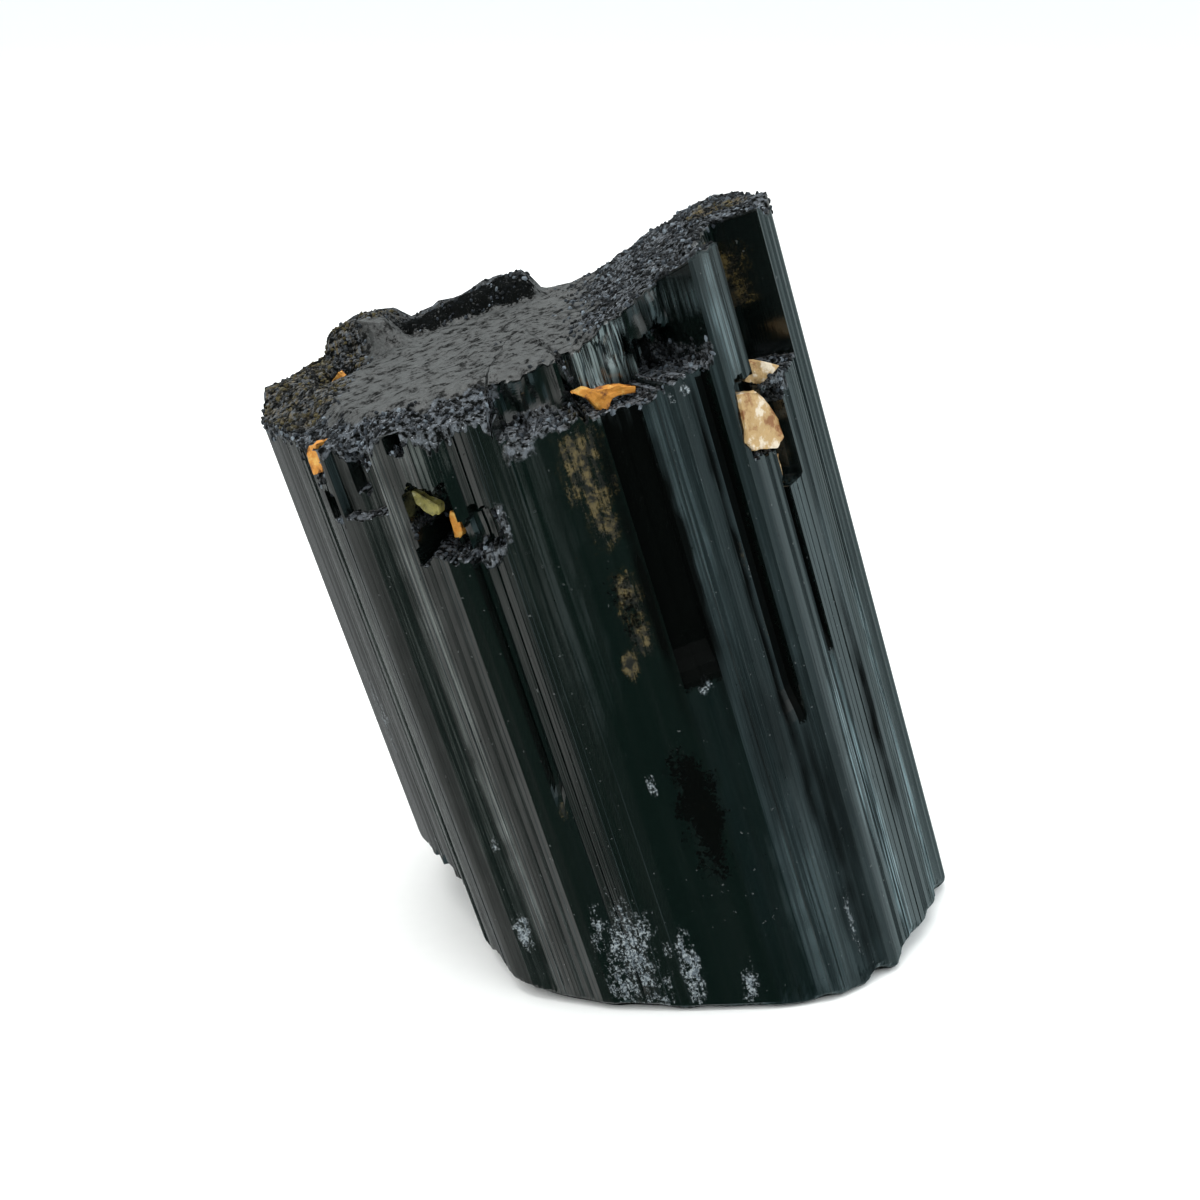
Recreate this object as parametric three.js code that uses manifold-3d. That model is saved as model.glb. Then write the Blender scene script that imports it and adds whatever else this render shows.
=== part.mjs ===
// A stubby black tourmaline crystal: a striated, rounded three-sided prism, broken across the top,
// with slabs missing below the break, pits that hold grains of feldspar and ochre, and a foot that
// is cut slanting, so that the crystal leans as it stands.
//
// Millimetres and degrees, +Z up. The origin is where the prism's own axis meets the ground.
// Shapes are made upright, along the prism's axis, and the whole crystal is then leaned over.
// A bearing is an angle round that axis: 0 faces -Y, the front, and positive turns towards +X.

import * as THREE from 'three';
import { mergeVertices } from 'three/addons/utils/BufferGeometryUtils.js';
import Module from 'manifold-3d';

const wasm = await Module();
wasm.setup();

// Driving dimensions
const LEAN = 16.8;            // the axis leans this far from upright, towards -X
const HALF_WIDTH = 19;        // half the width across the prism
const PLATEAU = 45.6;         // height of the flat of the broken top, along the axis
const LEDGE_RISE = 1.8;       // the bar left standing along the back of the top, at its right end
const LEDGE_SLOPE = 0.11;     // how fast that bar falls away to the left
const KNOB_RISE = 2.3;        // the knob at the left end of that bar
const CLIMB_SLOPE = 0.34;     // how steeply the top climbs to the right
const CORNER_RISE = 3.3;      // the right-hand corner, where the climb levels out
const SHOULDER_DROP = 1.3;    // the crumbling rim, below the flat of the top
const GRAIN_GAP = 0.3;        // clearance round a grain in its seat
const GRAIN_BEVEL = 0.08;     // worn edge of a grain
const STRIA_DEPTH = 0.35;     // depth of the grooves that run the length of the prism
const TOP_CELL = 0.85;        // spacing of the points of the broken top
const CLEAR = 8;              // how far a cutting shape reaches past what it cuts
const OVER_TOP = PLATEAU + CLEAR;

const DEGREE = Math.PI / 180;

// Corners of the prism's section as parts of HALF_WIDTH: x to the right, y to the back.
// Two flanks spread backwards from a blunted front edge to a flat back.
const SECTION_CORNERS = [
  [-0.655, -0.845], [-0.59, -0.89], [-0.30, -0.967], [0.20, -0.97], [0.47, -0.895],
  [0.70, -0.70], [0.88, -0.42], [0.985, -0.10], [1.00, 0.14], [0.86, 0.46],
  [0.55, 0.62], [-0.55, 0.62], [-0.88, 0.47], [-1.01, 0.16], [-0.99, -0.12],
].map(([x, y]) => new THREE.Vector2(x, y).multiplyScalar(HALF_WIDTH));

// Grooves that run the whole length: the bearing of the middle, and the width in degrees.
const FRONT_GROOVES = [
  [-84, 3], [-76, 2], [-68, 3], [-57, 2], [-49, 3], [-43, 1.6], [-29, 1.4], [-24.6, 1.2],
  [-20.6, 1.2], [-12.6, 1.4], [-8.4, 1], [-2.6, 1.4], [28.4, 1.2], [33.9, 1.2], [42.6, 1.4],
  [46.4, 1.6], [50.2, 1.4], [54.4, 1.4], [59.6, 1.4], [66.8, 1.8], [75, 2.4], [82, 2],
];
const BACK_GROOVE_COUNT = 22;
const BACK_START = 90;        // bearing where the back's grooves begin, clockwise to -90

// Slabs and pits: between two bearings and two heights along the axis, and their depth.
const RECESSES = [
  { from: -4, to: 13, low: 42.4, high: OVER_TOP, deep: 2.6, ridged: true },       // front ledge, left
  { from: 12.6, to: 28.4, low: 42.0, high: OVER_TOP, deep: 3.4, ridged: true },   // front ledge, middle
  { from: 28, to: 41.6, low: 42.6, high: OVER_TOP, deep: 2.9, ridged: true },     // front ledge, right
  { from: 29, to: 41, low: 42.6, high: 45.0, deep: 4.4, ridged: true },           // hollow under its wall
  { from: -37, to: -28, low: 40.0, high: OVER_TOP, deep: 0.8, ridged: true },     // slab off the left face
  { from: -33.6, to: -31.2, low: 41.4, high: 45.2, deep: 1.7 },                   // narrow channel in it
  { from: -44, to: -38, low: 39.4, high: 41.2, deep: 2.0 },                       // pit on the left edge
  { from: -24, to: -21.4, low: 43.2, high: 45.0, deep: 1.4 },                     // small pit below the rim
  { from: -25, to: -8, low: 36.2, high: 40.8, deep: 2.0, ridged: true },          // left pocket
  { from: -24, to: -19.6, low: 36.5, high: 38.8, deep: 3.8 },                     // hole in the left pocket
  { from: 15.4, to: 23.2, low: 23.4, high: OVER_TOP, deep: 0.9 },                 // long dark channel
  { from: -15.6, to: -13.9, low: 17.5, high: 36, deep: 0.6 },                     // short channel, left
  { from: 34.4, to: 39.6, low: 17.5, high: 42.2, deep: 0.7 },                     // channel, right
  { from: 52.5, to: 74, low: 39.2, high: OVER_TOP, deep: 3.2, ridged: true },     // deep slot, upper right
  { from: 53, to: 60, low: 32.4, high: 38.4, deep: 1.8 },                         // slot below the feldspar
  { from: -104, to: -53, low: -CLEAR, high: 10.4, deep: 1.6, ridged: true },      // slab off the left foot
];

// Bevels chipped along the foot: the bearing they face, and how much of the edge they take.
const FOOT_CHIPS = [
  [-110, 1.2], [-78, 1.6], [-50, 1.8], [-28, 0.9], [-4, 0.5], [22, 0.5],
  [46, 1.1], [72, 1.7], [100, 1.3], [135, 0.8], [165, 0.7], [-165, 0.7], [-137, 0.9],
];
const CHIP_SLOPE = 50;        // a chip's face leans this far from upright

// Grains of other minerals: where each sits, how deep its middle lies below the face, its thickness,
// and its edge in the face, x round the prism and y along the axis. A grain that does not lie with
// the face has the bearing it faces as well.
const GRAINS = [
  {
    name: 'feldspar_plate', bearing: 48.3, height: 37.4, inset: 0.4, thick: 1.6,
    edge: [[-1.3, 2.4], [-1.7, -0.8], [-1.2, -1.5], [0.9, -2.2], [1.8, -1.8], [1.9, -0.5], [0.6, 1.95]],
  },
  {
    name: 'feldspar_cap', bearing: 58.5, height: 39.6, inset: 1.2, thick: 1.3, facing: 24,
    edge: [[-0.5, 1], [-1.1, 0.05], [-1.15, -0.65], [-0.3, -0.75], [0.75, -0.45], [1.6, 0], [1.1, 0.35], [0.2, 0.9]],
  },
  {
    name: 'feldspar_chip', bearing: 55.3, height: 33.5, inset: 1.4, thick: 0.9,
    edge: [[-0.15, 1], [-0.65, 0.1], [-1.1, -0.5], [-0.3, -0.5], [0.65, -1.05], [0.7, -0.5], [0.9, 0.6], [0.3, 0.5]],
  },
  {
    name: 'ochre_flake_front', bearing: 18.6, height: 42.7, inset: 2.2, thick: 1,
    edge: [
      [-1.8, 0.8], [-0.95, 0.05], [-0.6, -0.85], [0, -0.95], [0.5, -0.35],
      [2, -0.6], [2.1, -0.1], [0.6, 0.5], [-0.25, 0.5], [-1, 0.9],
    ],
  },
  {
    name: 'ochre_flake_left', bearing: -18.6, height: 37.7, inset: 1.9, thick: 0.9,
    edge: [[-0.05, 1], [-0.4, 0.65], [-0.3, -0.1], [-0.5, -0.8], [-0.05, -1.05], [0.35, -0.65], [0.35, 0.7]],
  },
  {
    name: 'mica_flake_left', bearing: -23.2, height: 39.6, inset: 1.5, thick: 0.8,
    edge: [[-0.9, 0.95], [-0.7, 0.3], [-0.3, -0.3], [0.35, -1], [0.95, -0.9], [1.15, -0.35], [0.45, 0.3], [-0.2, 0.9]],
  },
  {
    name: 'ochre_grain_edge', bearing: -41.8, height: 43.7, inset: 0.5, thick: 1.2,
    edge: [[-0.2, 0.95], [-0.75, 0.35], [-0.7, -0.25], [-0.7, -1.1], [0.3, -0.95], [0.9, -0.15], [0.6, 0.35], [0.8, 1]],
  },
  {
    name: 'ochre_flake_top', bearing: -97, height: 44.9, inset: 5.6, thick: 0.8, facing: -12,
    edge: [[-0.5, 0.15], [-0.95, -0.5], [-0.5, -1.1], [0.5, -1], [0.75, 0.1], [0.4, 0.75]],
  },
];

// A repeatable number from 0 to 1 for a pair of whole numbers.
function hash(i, j) {
  const s = Math.sin(i * 127.1 + j * 311.7) * 43758.5453;
  return s - Math.floor(s);
}

// Smooth lumps from -1 to 1, one lump to each unit of x and y.
function lumps(x, y) {
  const i = Math.floor(x);
  const j = Math.floor(y);
  const u = THREE.MathUtils.smoothstep(x - i, 0, 1);
  const v = THREE.MathUtils.smoothstep(y - j, 0, 1);
  const near = THREE.MathUtils.lerp(hash(i, j), hash(i + 1, j), u);
  const far = THREE.MathUtils.lerp(hash(i, j + 1), hash(i + 1, j + 1), u);
  return 2 * THREE.MathUtils.lerp(near, far, v) - 1;
}

// A closed geometry as a solid that can be joined and cut, and back again.
function solidOf(geometry, matrix = new THREE.Matrix4()) {
  const bare = geometry.clone().applyMatrix4(matrix);
  bare.deleteAttribute('normal');
  bare.deleteAttribute('uv');
  const merged = mergeVertices(bare, 1e-4);
  return new wasm.Manifold(new wasm.Mesh({
    numProp: 3,
    vertProperties: new Float32Array(merged.attributes.position.array),
    triVerts: new Uint32Array(merged.index.array),
  }));
}

function geometryOf(solid) {
  const { vertProperties, triVerts } = solid.getMesh();
  const geometry = new THREE.BufferGeometry();
  geometry.setAttribute('position', new THREE.BufferAttribute(vertProperties, 3));
  geometry.setIndex(new THREE.BufferAttribute(triVerts, 1));
  geometry.computeVertexNormals();
  return geometry;
}

const outward = (bearing) => new THREE.Vector2(Math.sin(bearing * DEGREE), -Math.cos(bearing * DEGREE));

// Distance from the axis to the plain section's edge, on a bearing.
function sectionRadius(bearing) {
  const way = outward(bearing);
  for (let i = 0; i < SECTION_CORNERS.length; i++) {
    const a = SECTION_CORNERS[i];
    const side = SECTION_CORNERS[(i + 1) % SECTION_CORNERS.length].clone().sub(a);
    const crossing = way.cross(side);
    const radius = a.cross(side) / crossing;
    const along = a.cross(way) / crossing;
    if (radius > 0 && along >= 0 && along < 1) return radius;
  }
  throw new Error('the section is open at bearing ' + bearing);
}

// The back's grooves, spread by rule with uneven steps and widths.
function backGrooves() {
  const step = (360 - 2 * BACK_START) / BACK_GROOVE_COUNT;
  return Array.from({ length: BACK_GROOVE_COUNT }, (_, i) => {
    const bearing = BACK_START + step * (i + 0.3 + 0.4 * hash(i, 7));
    return [bearing > 180 ? bearing - 360 : bearing, step * (0.2 + 0.25 * hash(i, 13))];
  });
}

// The prism's outline: the plain section's corners, with a groove let in at each stria.
function sectionOutline() {
  const grooves = [...FRONT_GROOVES, ...backGrooves()];
  const inGroove = (bearing) => grooves.some(([at, wide]) => Math.abs(bearing - at) <= 0.6 * wide);
  const points = SECTION_CORNERS
    .map((corner) => ({ bearing: Math.atan2(corner.x, -corner.y) / DEGREE, deep: 0 }))
    .filter(({ bearing }) => !inGroove(bearing));
  grooves.forEach(([at, wide], i) => {
    const deep = STRIA_DEPTH * (0.6 + 0.8 * hash(i, 3));
    points.push({ bearing: at - wide / 2, deep: 0 }, { bearing: at - wide / 5, deep });
    points.push({ bearing: at + wide / 5, deep }, { bearing: at + wide / 2, deep: 0 });
  });
  points.sort((a, b) => a.bearing - b.bearing);
  return points.map(({ bearing, deep }) => outward(bearing).multiplyScalar(sectionRadius(bearing) - deep));
}

// Height of the broken top over a point of the section: a flat with a crumbling rim, a bar and a
// knob standing along the back, a crevice beside the knob, and a climb to the right-hand corner.
function topHeight(x, y) {
  const { smoothstep } = THREE.MathUtils;
  const bearing = Math.atan2(x, -y) / DEGREE;
  const fromRim = sectionRadius(bearing) - Math.hypot(x, y);
  const rim = 1 - smoothstep(fromRim, 0, 4);
  const leftFront = smoothstep(-y, -3, 2) * (1 - smoothstep(x, 3, 9));
  const climbFrom = 2.5 + 0.12 * (y + 13);
  const climb = Math.min(CORNER_RISE, CLIMB_SLOPE * Math.max(0, x - climbFrom));
  const backFall = -0.35 * smoothstep(y, 4, 11);
  const barLength = smoothstep(-x, -1.3, -0.5);
  const bar = (LEDGE_RISE + LEDGE_SLOPE * x) * smoothstep(y, 7.2, 8.2) * smoothstep(x, -17, -14.5) * barLength;
  const knobWidth = smoothstep(x, -15.2, -14.2) * (1 - smoothstep(x, -9.6, -8.4));
  const knob = KNOB_RISE * knobWidth * smoothstep(y + 0.3 * x, 1.2, 2.4);
  const crevice = -2.2 * (1 - smoothstep(Math.hypot(x + 13.7, y - 2.2), 0.8, 2.2));
  const crumble = 0.12 + 0.5 * rim * (1 - 0.8 * smoothstep(y, 2, 6));
  const grit = 0.14 * lumps(x / 1.3, y / 1.3) + crumble * lumps(x / 2.6 + 9, y / 2.6);
  return PLATEAU + climb + backFall + Math.max(bar, knob) + crevice + grit - SHOULDER_DROP * rim * leftFront;
}

// A block under the broken top, wide enough to hold the whole prism.
function brokenTopBlock() {
  const width = 2 * HALF_WIDTH + CLEAR;
  const cells = Math.round(width / TOP_CELL);
  const floor = -2 * CLEAR;
  const block = new THREE.BoxGeometry(width, width, 1, cells, cells, 1);
  const point = block.attributes.position;
  for (let i = 0; i < point.count; i++) {
    const isTop = point.getZ(i) > 0;
    point.setZ(i, isTop ? topHeight(point.getX(i), point.getY(i)) : floor);
  }
  return solidOf(block);
}

// The missing piece that leaves a recess: a sector outside the recess's back wall. A ridged wall
// has the prism's own striae carried down it.
function recessSolid({ from, to, low, high, deep, ridged = false }) {
  const count = Math.max(2, Math.round((to - from) / 2.2));
  const bearings = Array.from({ length: count + 1 }, (_, i) => from + (to - from) * i / count);
  const wall = bearings.map((bearing, i) => {
    const ridge = ridged ? 0.35 * (hash(i, from) - 0.5) : 0;
    return outward(bearing).multiplyScalar(sectionRadius(bearing) - deep + ridge);
  });
  const open = [to, from].map((bearing) => outward(bearing).multiplyScalar(HALF_WIDTH + 3 * CLEAR));
  const sector = new THREE.Shape([...wall, ...open]);
  const piece = new THREE.ExtrudeGeometry(sector, { depth: high - low, bevelEnabled: false });
  return solidOf(piece.translate(0, 0, low));
}

// The leaning pose, and the ground as it lies to the upright prism.
const leaning = new THREE.Matrix4().makeRotationY(-LEAN * DEGREE);
const righting = leaning.clone().invert();

function groundSolid() {
  const span = 6 * HALF_WIDTH;
  const slab = new THREE.BoxGeometry(span, span, 2 * HALF_WIDTH).translate(0, 0, -HALF_WIDTH);
  return solidOf(slab, righting);
}

// One chip along the foot: a slab that lies outside a sloping plane through the foot's edge.
function footChip(outline, bearing, bite) {
  const way = outward(bearing);
  const toGround = Math.tan(LEAN * DEGREE);
  const reach = Math.max(...outline.map((p) => {
    const foot = new THREE.Vector3(p.x, p.y, -p.x * toGround).applyMatrix4(leaning);
    return way.x * foot.x + way.y * foot.y;
  }));
  const span = 4 * HALF_WIDTH;
  const placed = new THREE.Matrix4()
    .makeRotationZ((bearing - 90) * DEGREE)
    .premultiply(new THREE.Matrix4().makeTranslation(way.x * (reach - bite), way.y * (reach - bite), 0));
  const slab = new THREE.BoxGeometry(span, span, span)
    .translate(span / 2, 0, 0)
    .rotateY(CHIP_SLOPE * DEGREE);
  return solidOf(slab, righting.clone().multiply(placed));
}

// A grain: a flake with the given edge, centred on its own middle, with its broad face towards +Z.
// Swollen by a clearance all round, it is the shape of the seat that holds it.
function flakeGeometry({ edge, thick }, clearance) {
  const shape = new THREE.Shape(edge.map(([x, y]) => new THREE.Vector2(x, y)));
  const depth = thick + 2 * clearance - 2 * GRAIN_BEVEL;
  return new THREE.ExtrudeGeometry(shape, {
    depth,
    bevelThickness: GRAIN_BEVEL,
    bevelSize: GRAIN_BEVEL,
    bevelOffset: clearance - GRAIN_BEVEL,
    bevelSegments: 1,
  }).translate(0, 0, -depth / 2);
}

// Where a grain sits: its own X round the prism, Y along the axis and Z outwards.
function grainPlace({ bearing, height, inset, facing = bearing }) {
  const middle = outward(bearing).multiplyScalar(sectionRadius(bearing) - inset);
  const way = outward(facing);
  return new THREE.Matrix4()
    .makeBasis(new THREE.Vector3(-way.y, way.x, 0), new THREE.Vector3(0, 0, 1), new THREE.Vector3(way.x, way.y, 0))
    .setPosition(middle.x, middle.y, height);
}

const schorl = new THREE.MeshStandardMaterial({ color: '#141a19', roughness: 0.25, metalness: 0 });
const mineral = {
  feldspar: new THREE.MeshStandardMaterial({ color: '#d3ab71', roughness: 0.7, metalness: 0 }),
  ochre: new THREE.MeshStandardMaterial({ color: '#c8842a', roughness: 0.8, metalness: 0 }),
  mica: new THREE.MeshStandardMaterial({ color: '#a59a4c', roughness: 0.6, metalness: 0 }),
};

const specimen = new THREE.Group();
specimen.applyMatrix4(leaning);

// The crystal: the prism under its broken top, less the recesses, the chips, the ground and the seats.
const outline = sectionOutline();
const prism = new THREE.ExtrudeGeometry(new THREE.Shape(outline), { depth: OVER_TOP + 2 * CLEAR, bevelEnabled: false })
  .translate(0, 0, -CLEAR);
let crystal = solidOf(prism).intersect(brokenTopBlock());
RECESSES.forEach((recess) => { crystal = crystal.subtract(recessSolid(recess)); });
FOOT_CHIPS.forEach(([bearing, bite]) => { crystal = crystal.subtract(footChip(outline, bearing, bite)); });
crystal = crystal.subtract(groundSolid());

GRAINS.forEach((grain) => {
  const place = grainPlace(grain);
  crystal = crystal.subtract(solidOf(flakeGeometry(grain, GRAIN_GAP), place));
  const mesh = new THREE.Mesh(flakeGeometry(grain, 0), mineral[grain.name.split('_')[0]].clone());
  mesh.name = grain.name;
  mesh.applyMatrix4(place);
  specimen.add(mesh);
});

const body = new THREE.Mesh(geometryOf(crystal), schorl);
body.name = 'crystal';
specimen.add(body);

const part = new THREE.Group();
part.add(specimen);

export default part;
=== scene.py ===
# %% [markdown]
# # A black tourmaline crystal
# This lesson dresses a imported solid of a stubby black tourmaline, also called schorl. The solid has the
# right outline and the right breaks, but it is plain. Here it gets its striae, its crumbling crust, its
# stains and the small grains of other minerals that sit in its pits. Everything is in metres, in the
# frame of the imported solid: +Z up, the foot on the ground, the viewer on the -Y side.

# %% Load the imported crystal
import math

import bmesh
import bpy
import numpy as np
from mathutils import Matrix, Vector


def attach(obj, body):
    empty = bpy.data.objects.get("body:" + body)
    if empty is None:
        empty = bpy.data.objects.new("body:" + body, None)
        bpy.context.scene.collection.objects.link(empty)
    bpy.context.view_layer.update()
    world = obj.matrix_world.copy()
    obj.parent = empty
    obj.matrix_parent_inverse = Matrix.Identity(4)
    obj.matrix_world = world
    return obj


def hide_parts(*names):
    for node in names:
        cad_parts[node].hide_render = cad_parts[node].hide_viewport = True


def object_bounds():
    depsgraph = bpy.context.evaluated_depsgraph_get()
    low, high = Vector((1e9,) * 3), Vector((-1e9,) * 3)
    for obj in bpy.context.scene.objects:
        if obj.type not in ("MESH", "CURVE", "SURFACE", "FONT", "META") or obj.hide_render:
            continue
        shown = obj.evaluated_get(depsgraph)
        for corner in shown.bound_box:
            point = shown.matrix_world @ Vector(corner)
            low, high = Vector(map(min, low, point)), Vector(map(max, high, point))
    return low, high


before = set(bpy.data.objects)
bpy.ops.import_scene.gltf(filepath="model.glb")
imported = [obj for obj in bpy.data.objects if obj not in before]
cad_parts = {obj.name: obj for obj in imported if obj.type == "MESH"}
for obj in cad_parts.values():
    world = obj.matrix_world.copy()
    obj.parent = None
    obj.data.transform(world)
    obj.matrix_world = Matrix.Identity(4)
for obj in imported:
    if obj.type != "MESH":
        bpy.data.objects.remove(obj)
cad_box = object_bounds()
print("nodes:", ", ".join(sorted(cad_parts)))

# %% [markdown]
# ## Where things are on a crystal
# A prism is easiest to describe by two numbers: a bearing round its axis, in degrees from the front, and
# a height along the axis, in millimetres. Every ledge, pit and stain below is placed by those two. The
# prism leans, because its foot is a slanting break, so one function turns upright millimetres into
# leaning metres, and it is the only place where the lean appears.

# %% Upright millimetres to leaning metres
MM = 0.001
LEAN = math.radians(16.8)
HALF_WIDTH = 19.0
PLATEAU = 45.6


def lean_over(points):
    """Upright points in millimetres, as the standing crystal has them in metres."""
    x, y, z = np.moveaxis(np.asarray(points, float), -1, 0)
    leaning = [x * math.cos(LEAN) - z * math.sin(LEAN), y, x * math.sin(LEAN) + z * math.cos(LEAN)]
    return np.stack(leaning, axis=-1) * MM


def ease(low, high, value):
    """0 below low, 1 above high, and a smooth climb between them."""
    share = np.clip((value - low) / (high - low), 0, 1)
    return share * share * (3 - 2 * share)


def dice(i, j, seed):
    """A repeatable number from 0 to 1 for a pair of whole numbers."""
    wave = np.sin(i * 127.1 + j * 311.7 + seed * 74.7) * 43758.5453
    return wave - np.floor(wave)


def lumps(x, y, seed=0):
    """Smooth lumps from -1 to 1, one to each unit of x and y."""
    x, y = np.broadcast_arrays(np.asarray(x, float), np.asarray(y, float))
    i, j = np.floor(x), np.floor(y)
    u, v = ease(0, 1, x - i), ease(0, 1, y - j)
    near = dice(i, j, seed) * (1 - u) + dice(i + 1, j, seed) * u
    far = dice(i, j + 1, seed) * (1 - u) + dice(i + 1, j + 1, seed) * u
    return 2 * (near * (1 - v) + far * v) - 1


# The section's corners, as parts of HALF_WIDTH, in the order of their bearings.
CORNERS = HALF_WIDTH * np.array([
    (-0.55, 0.62), (-0.88, 0.47), (-1.01, 0.16), (-0.99, -0.12), (-0.655, -0.845),
    (-0.59, -0.89), (-0.30, -0.967), (0.20, -0.97), (0.47, -0.895), (0.70, -0.70),
    (0.88, -0.42), (0.985, -0.10), (1.00, 0.14), (0.86, 0.46), (0.55, 0.62),
])
CORNER_BEARINGS = np.degrees(np.arctan2(CORNERS[:, 0], -CORNERS[:, 1]))


def outward(bearing):
    """The level unit vector that points away from the axis on a bearing."""
    turn = np.radians(bearing)
    return np.stack([np.sin(turn), -np.cos(turn)], axis=-1)


def cross(a, b):
    """The upright part of the cross product of two level vectors."""
    return a[..., 0] * b[..., 1] - a[..., 1] * b[..., 0]


def section_radius(bearing):
    """Distance from the axis to the plain section's edge."""
    bearing = np.asarray(bearing, float)
    after = np.searchsorted(CORNER_BEARINGS, bearing) % len(CORNERS)
    start = CORNERS[after - 1]
    side = CORNERS[after] - start
    return cross(start, side) / cross(outward(bearing), side)


print("half width", section_radius(90.0), "mm at the right,", section_radius(0.0), "mm at the front")

# %% [markdown]
# ## The broken top
# The crystal snapped off above. The break is a height field, one height for each point of the section:
# a grey flat, a crumbling rim at the front and left, a bar and a knob left standing along the back, a
# crevice by the knob, and a climb to the right-hand corner. A sculpted mesh could do the same, but a
# formula can be asked for its height anywhere, which the rim of the sides needs too.

# %% Height of the break over the section
BAR_RISE = 2.0
BAR_SLOPE = 0.12
KNOB_RISE = 2.3
CLIMB_SLOPE = 0.35
CORNER_RISE = 3.1
SHOULDER_DROP = 1.35
CREVICE_DROP = 2.4
CREVICE_AT = (-13.6, 1.2)
CREVICE_LENGTH = 1.7


def from_crevice(x, y):
    """Distance from the middle of the crevice, shortened along it."""
    return np.hypot(x - CREVICE_AT[0], (y - CREVICE_AT[1]) / CREVICE_LENGTH)


def rim_share(x, y):
    """1 at the edge of the break, 0 on the flat in its middle."""
    bearing = np.degrees(np.arctan2(x, -y))
    return 1 - ease(0, 4, section_radius(bearing) - np.hypot(x, y))


def top_height(x, y):
    """Height of the break along the axis, over a point of the section."""
    rim = rim_share(x, y)
    left_front = ease(-3, 2, -y) * (1 - ease(3, 9, x))
    climb = np.minimum(CORNER_RISE, CLIMB_SLOPE * np.maximum(0, x - 4.2 - 0.04 * (y + 13)))
    back_fall = -0.35 * ease(4, 11, y)
    wander = 0.3 * lumps(x / 1.7, y / 1.7, 5) + 0.15 * lumps(x / 0.6, y / 0.6, 6)
    bar_end = ease(-1.7, -0.2, -x)
    bar_top = BAR_RISE + BAR_SLOPE * x + 0.7 * wander
    bar = bar_top * ease(6.9, 8.8, y + wander) * ease(-17, -14.5, x) * bar_end
    knob_width = ease(-15.6, -14.2, x + wander) * (1 - ease(-9.8, -8.2, x + wander))
    knob_dome = 1 - 0.035 * (x + 11.8) ** 2
    knob = KNOB_RISE * knob_dome * knob_width * ease(1.2, 2.8, y + 0.3 * x + wander)
    crevice = -CREVICE_DROP * (1 - ease(0.9, 1.9, from_crevice(x, y)))
    rough = np.clip(0.55 + rim + ease(3, 7, x) + ease(7, 8, y), 0, 1)
    grit = 0.16 * lumps(x / 1.3, y / 1.3, 1) + 0.13 * lumps(x / 0.55, y / 0.55, 2)
    flakes = 0.10 * np.round(1.4 * lumps(x / 0.8 + 0.3 * y, y / 0.8, 3))
    crumble = (0.08 + 0.38 * rim * (1 - 0.8 * ease(2, 6, y))) * lumps(x / 2.6 + 9, y / 2.6, 4)
    fall = SHOULDER_DROP * rim * left_front
    level = PLATEAU + climb + back_fall + np.maximum(bar, knob) + crevice
    return level + rough * (grit + flakes) + crumble - fall


print("top of the right corner at", float(top_height(np.array(16.5), np.array(6.0))), "mm along the axis")

# %% [markdown]
# ## Slabs, pits and channels
# Below the break, slabs have come away along the striae and left ledges with upright walls, and small
# pits hold other minerals. Each is a window in bearing and height with a depth. Cutting them with
# booleans would give straight edges; a depth field with ragged windows breaks like stone does.

# %% Depth of the recesses
OVER_TOP = 60.0
UNDER_FOOT = -20.0
# A calmer recess than this is a channel, and its floor runs out at its foot.
RUN_OUT_BELOW = 0.2
RUN_OUT_LENGTH = 3
# A wilder recess than this has wavering sides.
WAVER_ABOVE = 0.55
# from, to, low, high, depth in millimetres, raggedness, and how much of its depth fades away upwards
RECESSES = [
    (-4, 13, 42.4, OVER_TOP, 2.6, 0.6, 0),
    (12.6, 28.4, 42.0, OVER_TOP, 3.4, 0.5, 0),
    (28, 41.6, 42.6, OVER_TOP, 2.9, 0.5, 0),
    (29, 41, 42.6, 45.0, 4.4, 0.5, 0),
    (-37, -28, 40.0, OVER_TOP, 0.7, 0.3, 0),
    (-33.6, -31.2, 41.4, 45.2, 1.6, 0.3, 0),
    (-44, -38, 39.4, 41.2, 2.0, 0.5, 0),
    (-24, -21.4, 43.2, 45.0, 1.4, 0.5, 0),
    (-25, -16.5, 36.2, 40.8, 2.1, 0.8, 0.25),
    (-17, -9, 36.0, 38.4, 0.9, 1.1, 0.4),
    (-24, -19.6, 36.5, 38.8, 3.6, 0.5, 0),
    (-44.2, -39.4, 42.5, 44.9, 1.1, 0.4, 0),
    (44.5, 52.5, 35.2, 40.2, 0.9, 0.4, 0),
    (15.4, 23.2, 23.4, OVER_TOP, 0.8, 0.12, 0),
    (-15.6, -13.9, 17.5, 36.5, 0.55, 0.1, 0),
    (34.4, 39.6, 17.5, 42.4, 0.6, 0.12, 0),
    (52.5, 74, 39.2, OVER_TOP, 3.2, 0.3, 0),
    (53, 60, 32.4, 38.8, 1.8, 0.4, 0),
    (52, 54, 20, 33, 0.4, 0.1, 0),
    (-104, -53, UNDER_FOOT, 10.4, 1.5, 0.8, 0),
]


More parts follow.
